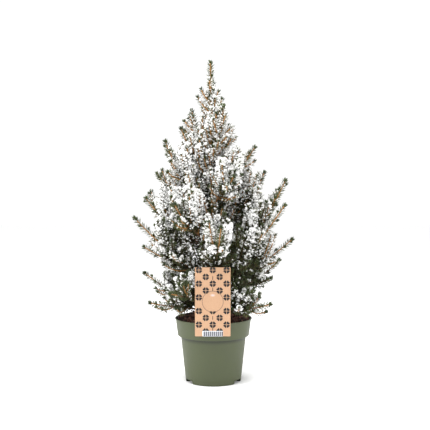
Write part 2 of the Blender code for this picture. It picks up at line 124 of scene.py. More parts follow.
# The pot. A 17 cm nursery pot of matt sage polypropylene, injection moulded in one piece: a rolled
# lip, a plain band that steps in to a tapering body, and a floor with four drains on a foot ring
# that four arches cut through.
RIM_RADIUS, POT_HEIGHT, WALL = 0.085, 0.140, 0.0017
FOOT_RADIUS, FOOT_RING = 0.0612, 0.0080
STEP_HEIGHT, BAND_FOOT, BODY_TOP = 0.1015, 0.0788, 0.0722
ARCH_DIRECTIONS, ARCH_SIZE, ARCH_CORNER = (28, 152, 208, 332), (0.024, 0.0300, 0.0150), 0.0016
DRAIN_DISTANCE, DRAIN_RADIUS = 0.0486, 0.0045


def build_mottle():
    """A shader group: two colours mixed by noise of its own scale, and the noise as a height."""
    group = bpy.data.node_groups.new("mottle", "ShaderNodeTree")
    for name, kind, value in (
        ("Vector", "NodeSocketVector", None),
        ("Scale", "NodeSocketFloat", 40),
        ("Detail", "NodeSocketFloat", 4),
        ("Contrast", "NodeSocketFloat", 1),
        ("Dark", "NodeSocketColor", (0, 0, 0, 1)),
        ("Light", "NodeSocketColor", (1, 1, 1, 1)),
    ):
        socket = group.interface.new_socket(name=name, in_out="INPUT", socket_type=kind)
        if value is not None:
            socket.default_value = value
    group.interface.new_socket(name="Color", in_out="OUTPUT", socket_type="NodeSocketColor")
    group.interface.new_socket(name="Height", in_out="OUTPUT", socket_type="NodeSocketFloat")
    nodes, links = group.nodes, group.links
    inlet = nodes.new("NodeGroupInput")
    outlet = nodes.new("NodeGroupOutput")
    speckle = nodes.new("ShaderNodeTexNoise")
    for name in ("Vector", "Scale", "Detail"):
        links.new(inlet.outputs[name], speckle.inputs[name])
    centred = nodes.new("ShaderNodeMath")
    centred.operation = "SUBTRACT"
    centred.inputs[1].default_value = 0.5
    links.new(speckle.outputs["Fac"], centred.inputs[0])
    spread = nodes.new("ShaderNodeMath")
    spread.operation = "MULTIPLY_ADD"
    spread.inputs[2].default_value = 0.5
    spread.use_clamp = True
    links.new(centred.outputs[0], spread.inputs[0])
    links.new(inlet.outputs["Contrast"], spread.inputs[1])
    blend = nodes.new("ShaderNodeMix")
    blend.data_type = "RGBA"
    links.new(spread.outputs[0], blend.inputs["Factor"])
    links.new(inlet.outputs["Dark"], blend.inputs[6])
    links.new(inlet.outputs["Light"], blend.inputs[7])
    links.new(blend.outputs[2], outlet.inputs["Color"])
    links.new(spread.outputs[0], outlet.inputs["Height"])
    return group


mottle = build_mottle()


def mottled(name, dark, light, scale, roughness, contrast=3, bump=0, stretch=(1, 1, 1)):
    """A finish that wavers between two colours, with an optional relief of the same pattern."""
    finish = bpy.data.materials.new(name)
    finish.use_nodes = True
    finish.diffuse_color = (*light, 1)
    nodes, links = finish.node_tree.nodes, finish.node_tree.links
    shader = nodes["Principled BSDF"]
    shader.inputs["Roughness"].default_value = roughness
    place = nodes.new("ShaderNodeTexCoord")
    scaling = nodes.new("ShaderNodeMapping")
    scaling.inputs["Scale"].default_value = stretch
    pattern = nodes.new("ShaderNodeGroup")
    pattern.node_tree = mottle
    pattern.name = "pattern"
    set_inputs(pattern, {"Scale": scale, "Contrast": contrast, "Dark": (*dark, 1), "Light": (*light, 1)})
    links.new(place.outputs["Object"], scaling.inputs["Vector"])
    links.new(scaling.outputs["Vector"], pattern.inputs["Vector"])
    links.new(pattern.outputs["Color"], shader.inputs["Base Color"])
    if bump:
        relief = nodes.new("ShaderNodeBump")
        relief.inputs["Distance"].default_value = bump
        links.new(pattern.outputs["Height"], relief.inputs["Height"])
        links.new(relief.outputs["Normal"], shader.inputs["Normal"])
    return finish


def combine(tree, operation, first, second):
    """The output of a node that takes two values together."""
    node = tree.nodes.new("ShaderNodeMath")
    node.operation = operation
    tree.links.new(first, node.inputs[0])
    tree.links.new(second, node.inputs[1])
    return node.outputs[0]


def tint_base(finish, mask, tint):
    """Draws a finish's mottled colour toward a plain tint where the mask is one."""
    nodes, links = finish.node_tree.nodes, finish.node_tree.links
    blend = nodes.new("ShaderNodeMix")
    blend.data_type = "RGBA"
    blend.inputs[7].default_value = (*tint, 1)
    links.new(mask, blend.inputs["Factor"])
    links.new(nodes["pattern"].outputs["Color"], blend.inputs[6])
    links.new(blend.outputs[2], nodes["Principled BSDF"].inputs["Base Color"])


def pick(piece):
    """Selects one piece alone and makes it the active one."""
    bpy.ops.object.select_all(action="DESELECT")
    piece.select_set(True)
    bpy.context.view_layer.objects.active = piece


def open_mesh():
    """Opens the active mesh for editing, with all of it selected."""
    bpy.ops.object.mode_set(mode="EDIT")
    bpy.ops.mesh.select_all(action="SELECT")


def close_mesh():
    """Turns the open mesh's faces outward and leaves editing."""
    bpy.ops.mesh.select_all(action="SELECT")
    bpy.ops.mesh.normals_make_consistent(inside=False)
    bpy.ops.object.mode_set(mode="OBJECT")


def bevel_edges(width, segments):
    """Bevels every edge of the active mesh."""
    open_mesh()
    bpy.ops.mesh.bevel(offset=width, segments=segments, affect="EDGES")
    bpy.ops.object.mode_set(mode="OBJECT")


def turn_up(name, outline, sides):
    """Draws a circle out ring by ring through (radius, height) points, and closes both ends."""
    bpy.ops.object.select_all(action="DESELECT")
    radius, height = outline[0]
    bpy.ops.mesh.primitive_circle_add(vertices=sides, radius=radius, location=(0, 0, height))
    piece = bpy.context.object
    piece.name = piece.data.name = name
    bpy.ops.object.transform_apply(location=True)
    open_mesh()
    for next_radius, next_height in outline[1:]:
        bpy.ops.mesh.extrude_edges_move(TRANSFORM_OT_translate={"value": (0, 0, next_height - height)})
        growth = next_radius / radius
        bpy.ops.transform.resize(value=(growth, growth, 1), center_override=(0, 0, 0))
        radius, height = next_radius, next_height
    bpy.ops.mesh.select_all(action="SELECT")
    bpy.ops.mesh.fill_holes(sides=0)
    close_mesh()
    return piece


def apply_modifiers(piece):
    """Applies every modifier of a piece, in order."""
    pick(piece)
    for modifier in list(piece.modifiers):
        bpy.ops.object.modifier_apply(modifier=modifier.name)


# The outline runs from the floor up the inside, over the lip, down the outside and under the
# floor. Its points are measured from the corners that they go round.
pot_outline = [(0.010, FOOT_RING + 0.0020)]
for radius, height, steps in (
    (FOOT_RADIUS, FOOT_RING, ((-0.0040, 0.0020), (-WALL, 0.0040))),
    (BODY_TOP - WALL, STEP_HEIGHT, ((-0.0006, -0.0010), (0, WALL))),
    (BAND_FOOT - WALL, STEP_HEIGHT + WALL, ((-0.0006, 0.0004), (0, 0.0012))),
    (
        RIM_RADIUS - WALL, POT_HEIGHT,
        ((-0.0012, -0.0028), (-0.0008, -0.0009), (-0.0001, -0.0002), (0.0005, 0)),
    ),
    (
        RIM_RADIUS, POT_HEIGHT,
        ((-0.0006, 0), (-0.0002, -0.0002), (0, -0.0007), (-0.0001, -0.0024),
         (-0.0004, -0.0029), (-0.0014, -0.0033), (-0.0017, -0.0040)),
    ),
    (BAND_FOOT, STEP_HEIGHT, ((0.0002, 0.0014), (0, 0.0006), (-0.0005, 0.0001), (-0.0012, 0))),
    (BODY_TOP, STEP_HEIGHT, ((0.0006, 0.0002), (0, -0.0008))),
    (
        FOOT_RADIUS, 0,
        ((0.0003, 0.0022), (0, 0.0008), (-0.0006, 0.0001), (-0.0012, 0),
         (-0.0081, 0), (-0.0085, 0.0004), (-0.0089, FOOT_RING)),
    ),
):
    pot_outline += [(radius + across, height + up) for across, up in steps]
pot_outline.append((0.010, FOOT_RING))
pot = turn_up("pot_shell", pot_outline, 120)

cutters = []
for degrees in ARCH_DIRECTIONS:
    turn = math.radians(degrees)
    out = Vector((math.cos(turn), math.sin(turn), 0))
    bpy.ops.object.select_all(action="DESELECT")
    bpy.ops.mesh.primitive_cube_add(size=1, location=out * FOOT_RADIUS, rotation=(0, 0, turn))
    arch = bpy.context.object
    arch.scale = ARCH_SIZE
    bpy.ops.object.transform_apply(location=True, rotation=True, scale=True)
    bevel_edges(ARCH_CORNER, 3)
    cutters.append(arch)
    drain_place = out * DRAIN_DISTANCE + Vector((0, 0, FOOT_RING))
    bpy.ops.mesh.primitive_cylinder_add(vertices=20, radius=DRAIN_RADIUS, depth=0.008, location=drain_place)
    cutters.append(bpy.context.object)
    bpy.ops.object.transform_apply(location=True)
bpy.ops.object.select_all(action="DESELECT")
for cutter in cutters:
    cutter.select_set(True)
bpy.context.view_layer.objects.active = cutters[0]
bpy.ops.object.join()
cut = pot.modifiers.new("Arches", "BOOLEAN")
cut.operation = "DIFFERENCE"
cut.object = cutters[0]
cut.solver = "EXACT"
cut.use_self = True
apply_modifiers(pot)
bpy.data.objects.remove(cutters[0])
bpy.ops.object.shade_smooth_by_angle(angle=math.radians(38))

pot_plastic = mottled(
    "pot_plastic", (0.0485, 0.0600, 0.0215), (0.0580, 0.0705, 0.0270), 26, 0.50, contrast=2.2
)
tree = pot_plastic.node_tree
nodes, links = tree.nodes, tree.links
place = nodes["Texture Coordinate"].outputs["Object"]
grain = nodes.new("ShaderNodeTexNoise")
grain.inputs["Scale"].default_value = 2600
links.new(place, grain.inputs["Vector"])
relief = nodes.new("ShaderNodeBump")
set_inputs(relief, {"Distance": 0.00006, "Strength": 0.5})
links.new(grain.outputs["Fac"], relief.inputs["Height"])
links.new(relief.outputs["Normal"], nodes["Principled BSDF"].inputs["Normal"])
sheen = ramp(tree, nodes["pattern"].outputs["Height"], 0, 1, 0.44, 0.60)
links.new(sheen, nodes["Principled BSDF"].inputs["Roughness"])

# Painted shade: the colour goes dark in the corner under the step and in the hollow behind the arches.
split_place = nodes.new("ShaderNodeSeparateXYZ")
links.new(place, split_place.inputs["Vector"])
height = split_place.outputs["Z"]
flattened = nodes.new("ShaderNodeVectorMath")
flattened.operation = "MULTIPLY"
flattened.inputs[1].default_value = (1, 1, 0)
links.new(place, flattened.inputs[0])
from_axis = nodes.new("ShaderNodeVectorMath")
from_axis.operation = "LENGTH"
links.new(flattened.outputs["Vector"], from_axis.inputs[0])
radius = from_axis.outputs["Value"]
below_step = ramp(tree, height, STEP_HEIGHT - 0.0120, STEP_HEIGHT - 0.0004, 0, 0.95, smooth=True)
above_step = ramp(tree, height, STEP_HEIGHT, STEP_HEIGHT + 0.0006, 1, 0)
behind_wall = ramp(tree, radius, FOOT_RADIUS - 0.0014, FOOT_RADIUS - 0.0007, 0.9, 0)
under_floor = ramp(tree, height, FOOT_RING + 0.0001, FOOT_RING + 0.0003, 1, 0)
corner_shade = combine(tree, "MULTIPLY", below_step, above_step)
arch_shade = combine(tree, "MULTIPLY", behind_wall, under_floor)
# The dark tint below is painted shade, not a colour of the plastic.
tint_base(pot_plastic, combine(tree, "MAXIMUM", corner_shade, arch_shade), (0.014, 0.018, 0.007))
pot.data.materials.append(pot_plastic)
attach(pot, "root")
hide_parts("pot")


# The mulch. Shredded pine bark, heaped loosely over the compost and against the trunk: a rough
# dark bed with hundreds of flat red-brown chips that lie across each other.
EDGE_HEIGHT, MIDDLE_HEIGHT, BED_RADIUS, HEAP_TOP = 0.1345, 0.1465, 0.0810, 0.020
RING_STEP, CRUMB_SIZE, CRUMB_HEIGHT = 0.004, 0.006, 0.0036
CHIP_FIELD, SHORT_CHIP, LONG_CHIP = 0.0755, 0.007, 0.017


def heap_height(radius):
    """The height of the bed at a distance from the trunk's middle."""
    share = max(0, (radius - HEAP_TOP) / (BED_RADIUS - HEAP_TOP))
    return MIDDLE_HEIGHT - (MIDDLE_HEIGHT - EDGE_HEIGHT) * share**1.4


bed_rings = [(0.004, 0.0103), (0.0565, 0.0103), (0.0698, 0.1000), (0.0765, 0.1045)]
for i in range(20):
    ring_radius = BED_RADIUS - RING_STEP * i
    bed_rings.append((ring_radius, heap_height(ring_radius)))
bed = turn_up("mulch_bed", bed_rings, 90)
crumbs = bpy.data.textures.new("crumbs", "CLOUDS")
crumbs.noise_scale = CRUMB_SIZE
crumbs.noise_depth = 2
rough = bed.modifiers.new("Crumbs", "DISPLACE")
rough.texture = crumbs
rough.texture_coords = "LOCAL"
rough.strength = CRUMB_HEIGHT
rough.mid_level = 0.55
on_heap = bed.vertex_groups.new(name="heap")
inside_edge = [
    vertex.index
    for vertex in bed.data.vertices
    if vertex.co.z > EDGE_HEIGHT - 0.0005 and vertex.co.xy.length < BED_RADIUS - 0.0005
]
on_heap.add(inside_edge, 1, "REPLACE")
rough.vertex_group = "heap"
apply_modifiers(bed)
bpy.ops.object.shade_smooth()
mulch_dust = mottled(
    "mulch_dust", (0.008, 0.0035, 0.002), (0.055, 0.022, 0.012), 260, 0.95, contrast=4, bump=0.0008
)
bed.data.materials.append(mulch_dust)
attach(bed, "root")
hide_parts("soil")


def shape_of(piece):
    """The corners and triangles of a modelled shape, which is then removed."""
    mesh = piece.data
    mesh.calc_loop_triangles()
    corners = np.array([vertex.co for vertex in mesh.vertices])
    faces = np.array([triangle.vertices for triangle in mesh.loop_triangles])
    bpy.data.objects.remove(piece)
    return corners, faces


def unit(rows):
    """Rows of directions, each brought to length one."""
    return rows / np.linalg.norm(rows, axis=1, keepdims=True)


def join_copies(name, shape, roots, heads, sizes, spins, finish):
    """One mesh of many copies of a shape that stands on +Z, each with its root, heading, size and spin."""
    corners, faces = shape
    heads = unit(heads)
    level = np.where(np.abs(heads[:, 2:3]) < 0.9, (0.0, 0.0, 1.0), (1.0, 0.0, 0.0))
    aside = unit(np.cross(heads, level))
    across = np.cross(heads, aside)
    cosine, sine = np.cos(spins)[:, None], np.sin(spins)[:, None]
    aside, across = aside * cosine + across * sine, across * cosine - aside * sine
    places = roots[:, None] + (
        aside[:, None] * (corners[None, :, 0:1] * sizes[:, None, 0:1])
        + across[:, None] * (corners[None, :, 1:2] * sizes[:, None, 1:2])
        + heads[:, None] * (corners[None, :, 2:3] * sizes[:, None, 2:3])
    )
    count = len(roots)
    corner_ids = (faces[None] + np.arange(count)[:, None, None] * len(corners)).reshape(-1)
    mesh = bpy.data.meshes.new(name)
    mesh.vertices.add(count * len(corners))
    mesh.vertices.foreach_set("co", places.reshape(-1))
    mesh.loops.add(len(corner_ids))
    mesh.loops.foreach_set("vertex_index", corner_ids)
    mesh.polygons.add(len(corner_ids) // 3)
    mesh.polygons.foreach_set("loop_start", np.arange(0, len(corner_ids), 3))
    mesh.polygons.foreach_set("use_smooth", np.ones(len(corner_ids) // 3, bool))
    mesh.update(calc_edges=True)
    mesh.materials.append(finish)
    piece = bpy.data.objects.new(name, mesh)
    bpy.context.scene.collection.objects.link(piece)
    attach(piece, "root")
    return piece


def model_chip(seed):
    """A flake of bark about one unit long: a flattened block with worn corners and a ragged end."""
    bpy.ops.object.select_all(action="DESELECT")
    bpy.ops.mesh.primitive_cube_add(size=1)
    chip = bpy.context.object
    bevel_edges(0.16, 1)
    dice = random.Random(seed)
    for vertex in chip.data.vertices:
        vertex.co.x += dice.uniform(-0.12, 0.12) + 0.25 * vertex.co.z**2
        vertex.co.y += dice.uniform(-0.12, 0.12)
        vertex.co.z += dice.uniform(-0.10, 0.10)
    return shape_of(chip)


def scatter_chips(name, shape, count, seed, finish):
    """Chips dropped on the heap at random, most of them lying nearly flat."""
    dice = np.random.default_rng(seed)
    radius = CHIP_FIELD * np.sqrt(dice.uniform(0.02, 1, count))
    turn = dice.uniform(0, math.tau, count)
    height = np.array([heap_height(r) for r in radius]) + dice.uniform(0.0002, 0.0030, count)
    roots = np.stack([radius * np.cos(turn), radius * np.sin(turn), height], axis=1)
    aim = dice.uniform(0, math.tau, count)
    heads = np.stack([np.cos(aim), np.sin(aim), dice.normal(0, 0.28, count)], axis=1)
    length = dice.uniform(SHORT_CHIP, LONG_CHIP, count)
    thickness = length * dice.uniform(0.12, 0.25, count)
    width = length * dice.uniform(0.35, 0.6, count)
    sizes = np.stack([thickness, width, length], axis=1)
    chips = join_copies(name, shape, roots, heads, sizes, dice.normal(0, 0.35, count), finish)
    chips.data.polygons.foreach_set("use_smooth", np.zeros(len(chips.data.polygons), bool))


for tone, shape_seed, count, seed, dark, light, roughness in (
    ("red", 3, 260, 31, (0.036, 0.014, 0.009), (0.150, 0.057, 0.034), 0.85),
    ("dark", 4, 300, 32, (0.012, 0.006, 0.005), (0.055, 0.024, 0.016), 0.90),
    ("pale", 5, 70, 33, (0.070, 0.032, 0.020), (0.190, 0.095, 0.060), 0.85),
):
    bark = mottled(f"bark_chip_{tone}", dark, light, 300, roughness, stretch=(1, 1, 0.3))
    scatter_chips(f"mulch_chips_{tone}", model_chip(shape_seed), count, seed, bark)


# The label. A stiff upright card of warm peach board, die cut in one piece with the tongue that
# hooks over the rim, and printed in dark ink with rows of an old knitting star, a plain ring with
# a gleam in it, and a band of stripes on a white patch at the foot.
CARD_FRONT, CARD_MIDDLE, CARD_FOOT = -0.0860, -0.0013, 0.1138
CARD_WIDTH, CARD_HEIGHT = 0.075, 0.146
CARD_TOP = CARD_FOOT + CARD_HEIGHT
INK_THICKNESS = 0.00012
FIRST_ROW, ROW_STEP, COLUMN_STEP, STAR_RADIUS = 0.0056, 0.01445, 0.0146, 0.0066
PETAL = ((0.20, 0.07), (0.88, 0.07), (1.07, 0.40), (0.71, 0.71), (0.25, 0.28))
DOT_RADIUS, LAST_DOT = 0.0008, 0.130
DASH_WIDTH, DASH_LENGTH, DASH_TOPS = 0.0014, 0.0078, (0.0185, 0.0425, 0.1030, 0.1270)
RING_RADIUS, RING_WIDTH, RING_DROP = 0.0217, 0.0010, 0.0724
GLEAM_DROP = RING_DROP - 0.0135
PATCH_EDGE, PATCH_DROP = 0.0218, 0.1345
FIRST_STRIPE, STRIPE_STEP, STRIPE_WIDTH = -0.0193, 0.0042, 0.0028

card = bpy.data.objects["label"]
peach_board = mottled(
    "peach_board", (0.500, 0.292, 0.168), (0.570, 0.350, 0.212), 900, 0.62, contrast=2.5, bump=0.00005
)
card.data.materials.clear()
card.data.materials.append(peach_board)


def add_ink(name, outlines, finish, layers_below):
    """Thin raised print: flat outlines of (across, down) points on the card, trimmed to its edges."""
    corners, faces = [], []
    for outline in outlines:
        faces.append(list(range(len(corners), len(corners) + len(outline))))
        corners += [(CARD_MIDDLE + across, CARD_FRONT, CARD_TOP - drop) for across, drop in outline]
    mesh = bpy.data.meshes.new(name)
    mesh.from_pydata(corners, [], faces)
    ink = bpy.data.objects.new(name, mesh)
    bpy.context.scene.collection.objects.link(ink)
    pick(ink)
    open_mesh()
    for place, away in (
        ((CARD_MIDDLE - CARD_WIDTH / 2, 0, 0), (-1, 0, 0)),
        ((CARD_MIDDLE + CARD_WIDTH / 2, 0, 0), (1, 0, 0)),
        ((0, 0, CARD_FOOT), (0, 0, -1)),
        ((0, 0, CARD_TOP), (0, 0, 1)),
    ):
        bpy.ops.mesh.select_all(action="SELECT")
        bpy.ops.mesh.bisect(plane_co=place, plane_no=away, clear_outer=True)
    bpy.ops.mesh.select_all(action="SELECT")
    bpy.ops.mesh.extrude_region_move(TRANSFORM_OT_translate={"value": (0, -INK_THICKNESS, 0)})
    close_mesh()
    for vertex in ink.data.vertices:
        vertex.co.y -= INK_THICKNESS * layers_below
    ink.data.materials.append(finish)
    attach(ink, "root")


def star(across, drop):
    """Eight petals in four pairs, each pair a corner, with a light cross between the pairs."""
    petals = []
    for quarter in range(4):
        turn = math.radians(90 * quarter)
        for mirrored in (False, True):
            corners = [(b, a) if mirrored else (a, b) for a, b in PETAL]
            petals.append([
                (
                    across + STAR_RADIUS * (a * math.cos(turn) - b * math.sin(turn)),
                    drop + STAR_RADIUS * (a * math.sin(turn) + b * math.cos(turn)),
                )
                for a, b in corners
            ])
    return petals


def ring(radius, width, drop, sides=64):
    """Four-cornered pieces that make up a thin ring."""
    pieces = []
    for i in range(sides):
        a, b = math.tau * i / sides, math.tau * (i + 1) / sides
        pieces.append([
            (r * math.cos(t), drop + r * math.sin(t))
            for r, t in ((radius, a), (radius, b), (radius + width, b), (radius + width, a))
        ])
    return pieces


def bar(left, right, top, bottom):
    """The outline of a flat bar."""
    return [(left, top), (right, top), (right, bottom), (left, bottom)]


def oval(half_width, half_height, drop, sides=20, middle=0):
    """The outline of a flat oval."""
    turns = [math.tau * i / sides for i in range(sides)]
    return [(middle + half_width * math.cos(turn), drop + half_height * math.sin(turn)) for turn in turns]


stars, dots = [], []
for row in range(10):
    drop = FIRST_ROW + ROW_STEP * row
    for column in (-1, 1) if row % 2 else (-2, 0, 2):
        across = column * COLUMN_STEP
        from_ring = math.hypot(across, drop - RING_DROP)
        for petal in star(across, drop):
            middle_across, middle_drop = np.mean(petal, axis=0)
            in_ring = math.hypot(middle_across, middle_drop - RING_DROP) < RING_RADIUS
            if not in_ring and from_ring > RING_RADIUS - 0.003:
                stars.append(petal)
        if from_ring > RING_RADIUS and drop < LAST_DOT:
            dots.append(oval(DOT_RADIUS, DOT_RADIUS, drop, 8, across))
stars += [bar(-DASH_WIDTH / 2, DASH_WIDTH / 2, top, top + DASH_LENGTH) for top in DASH_TOPS]
lines = ring(RING_RADIUS, RING_WIDTH, RING_DROP) + dots
glow = [oval(0.0056, 0.0034, GLEAM_DROP)]
gleam = [oval(0.0034, 0.0019, GLEAM_DROP)]
patch = [bar(-PATCH_EDGE, PATCH_EDGE, PATCH_DROP, CARD_HEIGHT)]
stripes = []
for i in range(10):
    left = FIRST_STRIPE + STRIPE_STEP * i
    stripes.append(bar(left, left + STRIPE_WIDTH, PATCH_DROP + 0.0013, CARD_HEIGHT - 0.0006))

for name, outlines, layers_below, ink_name, dark, light, scale, roughness in (
    ("label_stars", stars, 0, "star_ink", (0.004, 0.003, 0.004), (0.011, 0.008, 0.010), 900, 0.60),
    ("label_lines", lines, 0, "line_ink", (0.13, 0.075, 0.050), (0.19, 0.115, 0.080), 900, 0.60),
    ("label_glow", glow, 0, "glow_ink", (0.56, 0.37, 0.26), (0.63, 0.43, 0.31), 900, 0.60),
    ("label_gleam", gleam, 1, "gleam_ink", (0.58, 0.47, 0.43), (0.66, 0.55, 0.51), 900, 0.60),
    ("label_patch", patch, 1, "patch_white", (0.72, 0.74, 0.78), (0.86, 0.87, 0.90), 700, 0.5),
    ("label_stripes", stripes, 2, "stripe_ink", (0.016, 0.018, 0.032), (0.036, 0.040, 0.062), 700, 0.5),
):
    add_ink(name, outlines, mottled(ink_name, dark, light, scale, roughness), layers_below)


# The trunk. One stem from a flared foot in the mulch to the leader, clad in thin scaly bark that
# is brown below and orange-tan where it is younger, above the lower half.
GROUND, TREE_HEIGHT, TRUNK_TOP, TOP_LEAN = 0.1440, 0.7005, 0.5500, 0.0066
TRUNK_FOOT_RADIUS, TRUNK_TIP_RADIUS = 0.0088, 0.0024
FLARE, FLARE_HEIGHT = 0.0046, 0.022
SOLIDS_GAP = 0.0003


def trunk_axis(height):
    """The middle of the trunk at a height: upright below, leaning a little to the left at the tip."""
    share = max(0, (height - GROUND) / (TREE_HEIGHT - GROUND))
    return Vector((-TOP_LEAN * share**1.5, 0, height))


def trunk_radius(height):
    """A steady taper from foot to top, with a root flare at the foot."""
    above = height - GROUND - SOLIDS_GAP
    loss = (TRUNK_TIP_RADIUS - TRUNK_FOOT_RADIUS) * above / (TRUNK_TOP - GROUND)
    return TRUNK_FOOT_RADIUS + loss + FLARE * max(0, 1 - above / FLARE_HEIGHT) ** 2


def grow_limbs(name, lines, sides, finish, relief=0, plate=0.004):
    """Tapering round limbs, one for each (points, radii) line, made from a curve and roughened."""
    curve = bpy.data.curves.new(name, "CURVE")
    curve.dimensions = "3D"
    curve.bevel_depth = 1
    curve.bevel_resolution = sides // 2 - 2
    curve.use_fill_caps = True
    for points, radii in lines:
        spline = curve.splines.new("POLY")
        spline.points.add(len(points) - 1)
        spline.points.foreach_set("co", [value for point in points for value in (*point, 1)])
        spline.points.foreach_set("radius", radii)
    limbs = bpy.data.objects.new(name, curve)
    bpy.context.scene.collection.objects.link(limbs)
    pick(limbs)
    bpy.ops.object.convert(target="MESH")
    open_mesh()
    bpy.ops.mesh.remove_doubles(threshold=0.00001)
    close_mesh()
    limbs = bpy.context.object
    if relief:
        scales = bpy.data.textures.new(f"{name}_scales", "VORONOI")
        scales.noise_scale = plate
        scales.distance_metric = "DISTANCE_SQUARED"
        rough = limbs.modifiers.new("Scales", "DISPLACE")
        rough.texture = scales
        rough.texture_coords = "LOCAL"
        rough.strength = relief
        rough.mid_level = 0.4
        apply_modifiers(limbs)
    bpy.ops.object.shade_smooth()
    limbs.data.materials.clear()
    limbs.data.materials.append(finish)
    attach(limbs, "root")
    return limbs


trunk_heights = np.linspace(GROUND - 0.004, TRUNK_TOP + 0.004, 300)
trunk_points = [trunk_axis(height) for height in trunk_heights]
trunk_radii = [
    trunk_radius(max(height, GROUND)) * (1 + 0.05 * noise.noise((height * 60, 3, 0)))
    for height in trunk_heights
]
trunk_bark = mottled(
    "trunk_bark", (0.030, 0.017, 0.012), (0.140, 0.080, 0.050), 330, 0.92, bump=0.0006, stretch=(1, 1, 0.4)
)
nodes, links = trunk_bark.node_tree.nodes, trunk_bark.node_tree.links
split_place = nodes.new("ShaderNodeSeparateXYZ")
links.new(nodes["Texture Coordinate"].outputs["Object"], split_place.inputs["Vector"])
youth = ramp(trunk_bark.node_tree, split_place.outputs["Z"], 0.30, 0.46, 0, 1)
tint_base(trunk_bark, youth, (0.360, 0.185, 0.068))
trunk = grow_limbs("trunk_bark", [(trunk_points, trunk_radii)], 24, trunk_bark, relief=0.0016)
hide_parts("trunk")


# The boughs. They rise from the trunk in tiers, each a limb that sweeps outward and then up to the
# tip of its foliage; brown and scaly near the trunk, then smooth orange-tan young bark.
MASS_ENTRY = 0.24
BOUGH_RADIUS, BOUGH_TAPER = 0.0032, 0.0012
STEM_RADII, LEADER_RADII = (0.0019, 0.0012), (0.0030, 0.0017)

# Each tier has the height of its first limb, the step to the next, the share of the reach and of
# the rise at which a limb bends, and each limb's direction, reach and tip height.
TIERS = {
    "skirt": (
        0.1540, 0.0050, 0.50, 0.12,
        ((322, 0.150, 0.182), (205, 0.148, 0.181), (116, 0.156, 0.222), (168, 0.158, 0.234),
         (66, 0.150, 0.232), (18, 0.157, 0.262), (233, 0.146, 0.208)),
    ),
    "lower": (
        0.1920, 0.0075, 0.48, 0.34,
        ((2, 0.174, 0.312), (340, 0.162, 0.389), (84, 0.158, 0.330),
         (197, 0.176, 0.362), (163, 0.164, 0.292), (276, 0.154, 0.346)),
    ),
    "middle": (
        0.2450, 0.0115, 0.66, 0.36,
        ((346, 0.160, 0.442), (40, 0.164, 0.377), (76, 0.142, 0.436),
         (124, 0.144, 0.430), (178, 0.148, 0.403), (236, 0.140, 0.392)),
    ),
    "upper": (
        0.3250, 0.0170, 0.68, 0.36,
        ((4, 0.114, 0.460), (94, 0.112, 0.492), (156, 0.138, 0.458),
         (200, 0.108, 0.526), (292, 0.116, 0.450)),
    ),
    "shoulder": (
        0.4300, 0.0200, 0.66, 0.36,
        ((348, 0.094, 0.514), (188, 0.068, 0.556), (52, 0.064, 0.566),
         (150, 0.052, 0.598), (310, 0.038, 0.604)),
    ),
}


class Path:
    """The line of a bough or shoot, which bends once on the way from its foot to its tip."""

    def __init__(self, foot, bend, tip):
        self.foot, self.bend, self.tip = foot, bend, tip
        self.length = sum((self.at((i + 1) / 20) - self.at(i / 20)).length for i in range(20))

    def at(self, share):
        """The place at a share of the way."""
        before = self.foot.lerp(self.bend, share)
        after = self.bend.lerp(self.tip, share)
        return before.lerp(after, share)

    def ahead(self, share):
        """The direction of growth at a share of the way."""
        return (self.at(share + 0.01) - self.at(share - 0.01)).normalized()

    def points(self, start, end, spacing=0.003):
        """Evenly spread places from one share of the way to another."""
        count = max(1, math.ceil((end - start) * self.length / spacing))
        return [self.at(start + (end - start) * i / count) for i in range(count + 1)]


def bough_path(foot_height, degrees, reach, tip_height, bend_out, bend_up):
    """A bough's line from the trunk's middle: low at first, then upward to the tip of its foliage."""
    direction = math.radians(degrees)
    out = Vector((math.cos(direction), math.sin(direction), 0)) * reach
    foot = trunk_axis(foot_height)
    rise = Vector((0, 0, tip_height - foot_height))
    return Path(foot, foot + out * bend_out + rise * bend_up, foot + out + rise)


# The crown lists every main limb: its name, its line, and the share at which its foliage starts.
crown = []
for tier, (foot_height, step, bend_out, bend_up, rows) in TIERS.items():
    for i, (degrees, reach, tip_height) in enumerate(rows):
        line = bough_path(foot_height + step * i, degrees, reach, tip_height, bend_out, bend_up)
        crown.append((f"{tier}_{i + 1}", line, 0 if tier == "shoulder" else MASS_ENTRY))
leader_foot, leader_tip = trunk_axis(TRUNK_TOP), trunk_axis(TREE_HEIGHT)
leader = Path(leader_foot, leader_foot.lerp(leader_tip, 0.5), leader_tip)
crown.append(("leader", leader, SOLIDS_GAP / leader.length))

bough_lines, stem_lines, aged_lines = [], [], []
for name, line, start in crown:
    if start == MASS_ENTRY:
        points = line.points(0, MASS_ENTRY + 0.02, 0.0018)
        shares = np.linspace(0, 1, len(points))
        swell = [1 + 0.12 * noise.noise(point * 90) for point in points]
        bough_lines.append((points, [(BOUGH_RADIUS - BOUGH_TAPER * s) * w for s, w in zip(shares, swell)]))
    points = line.points(start, 1, 0.003)
    thick, thin = LEADER_RADII if name == "leader" else STEM_RADII
    radii = list(np.linspace(thick, thin, len(points)))
    aged_share = 0.80 if name.startswith("skirt") else 0.42 if start == MASS_ENTRY else 0.30
    aged = 0 if name == "leader" else round(len(points) * aged_share)
    stem_lines.append((points[aged:], radii[aged:]))
    if aged:
        aged_lines.append((points[: aged + 1], radii[: aged + 1]))

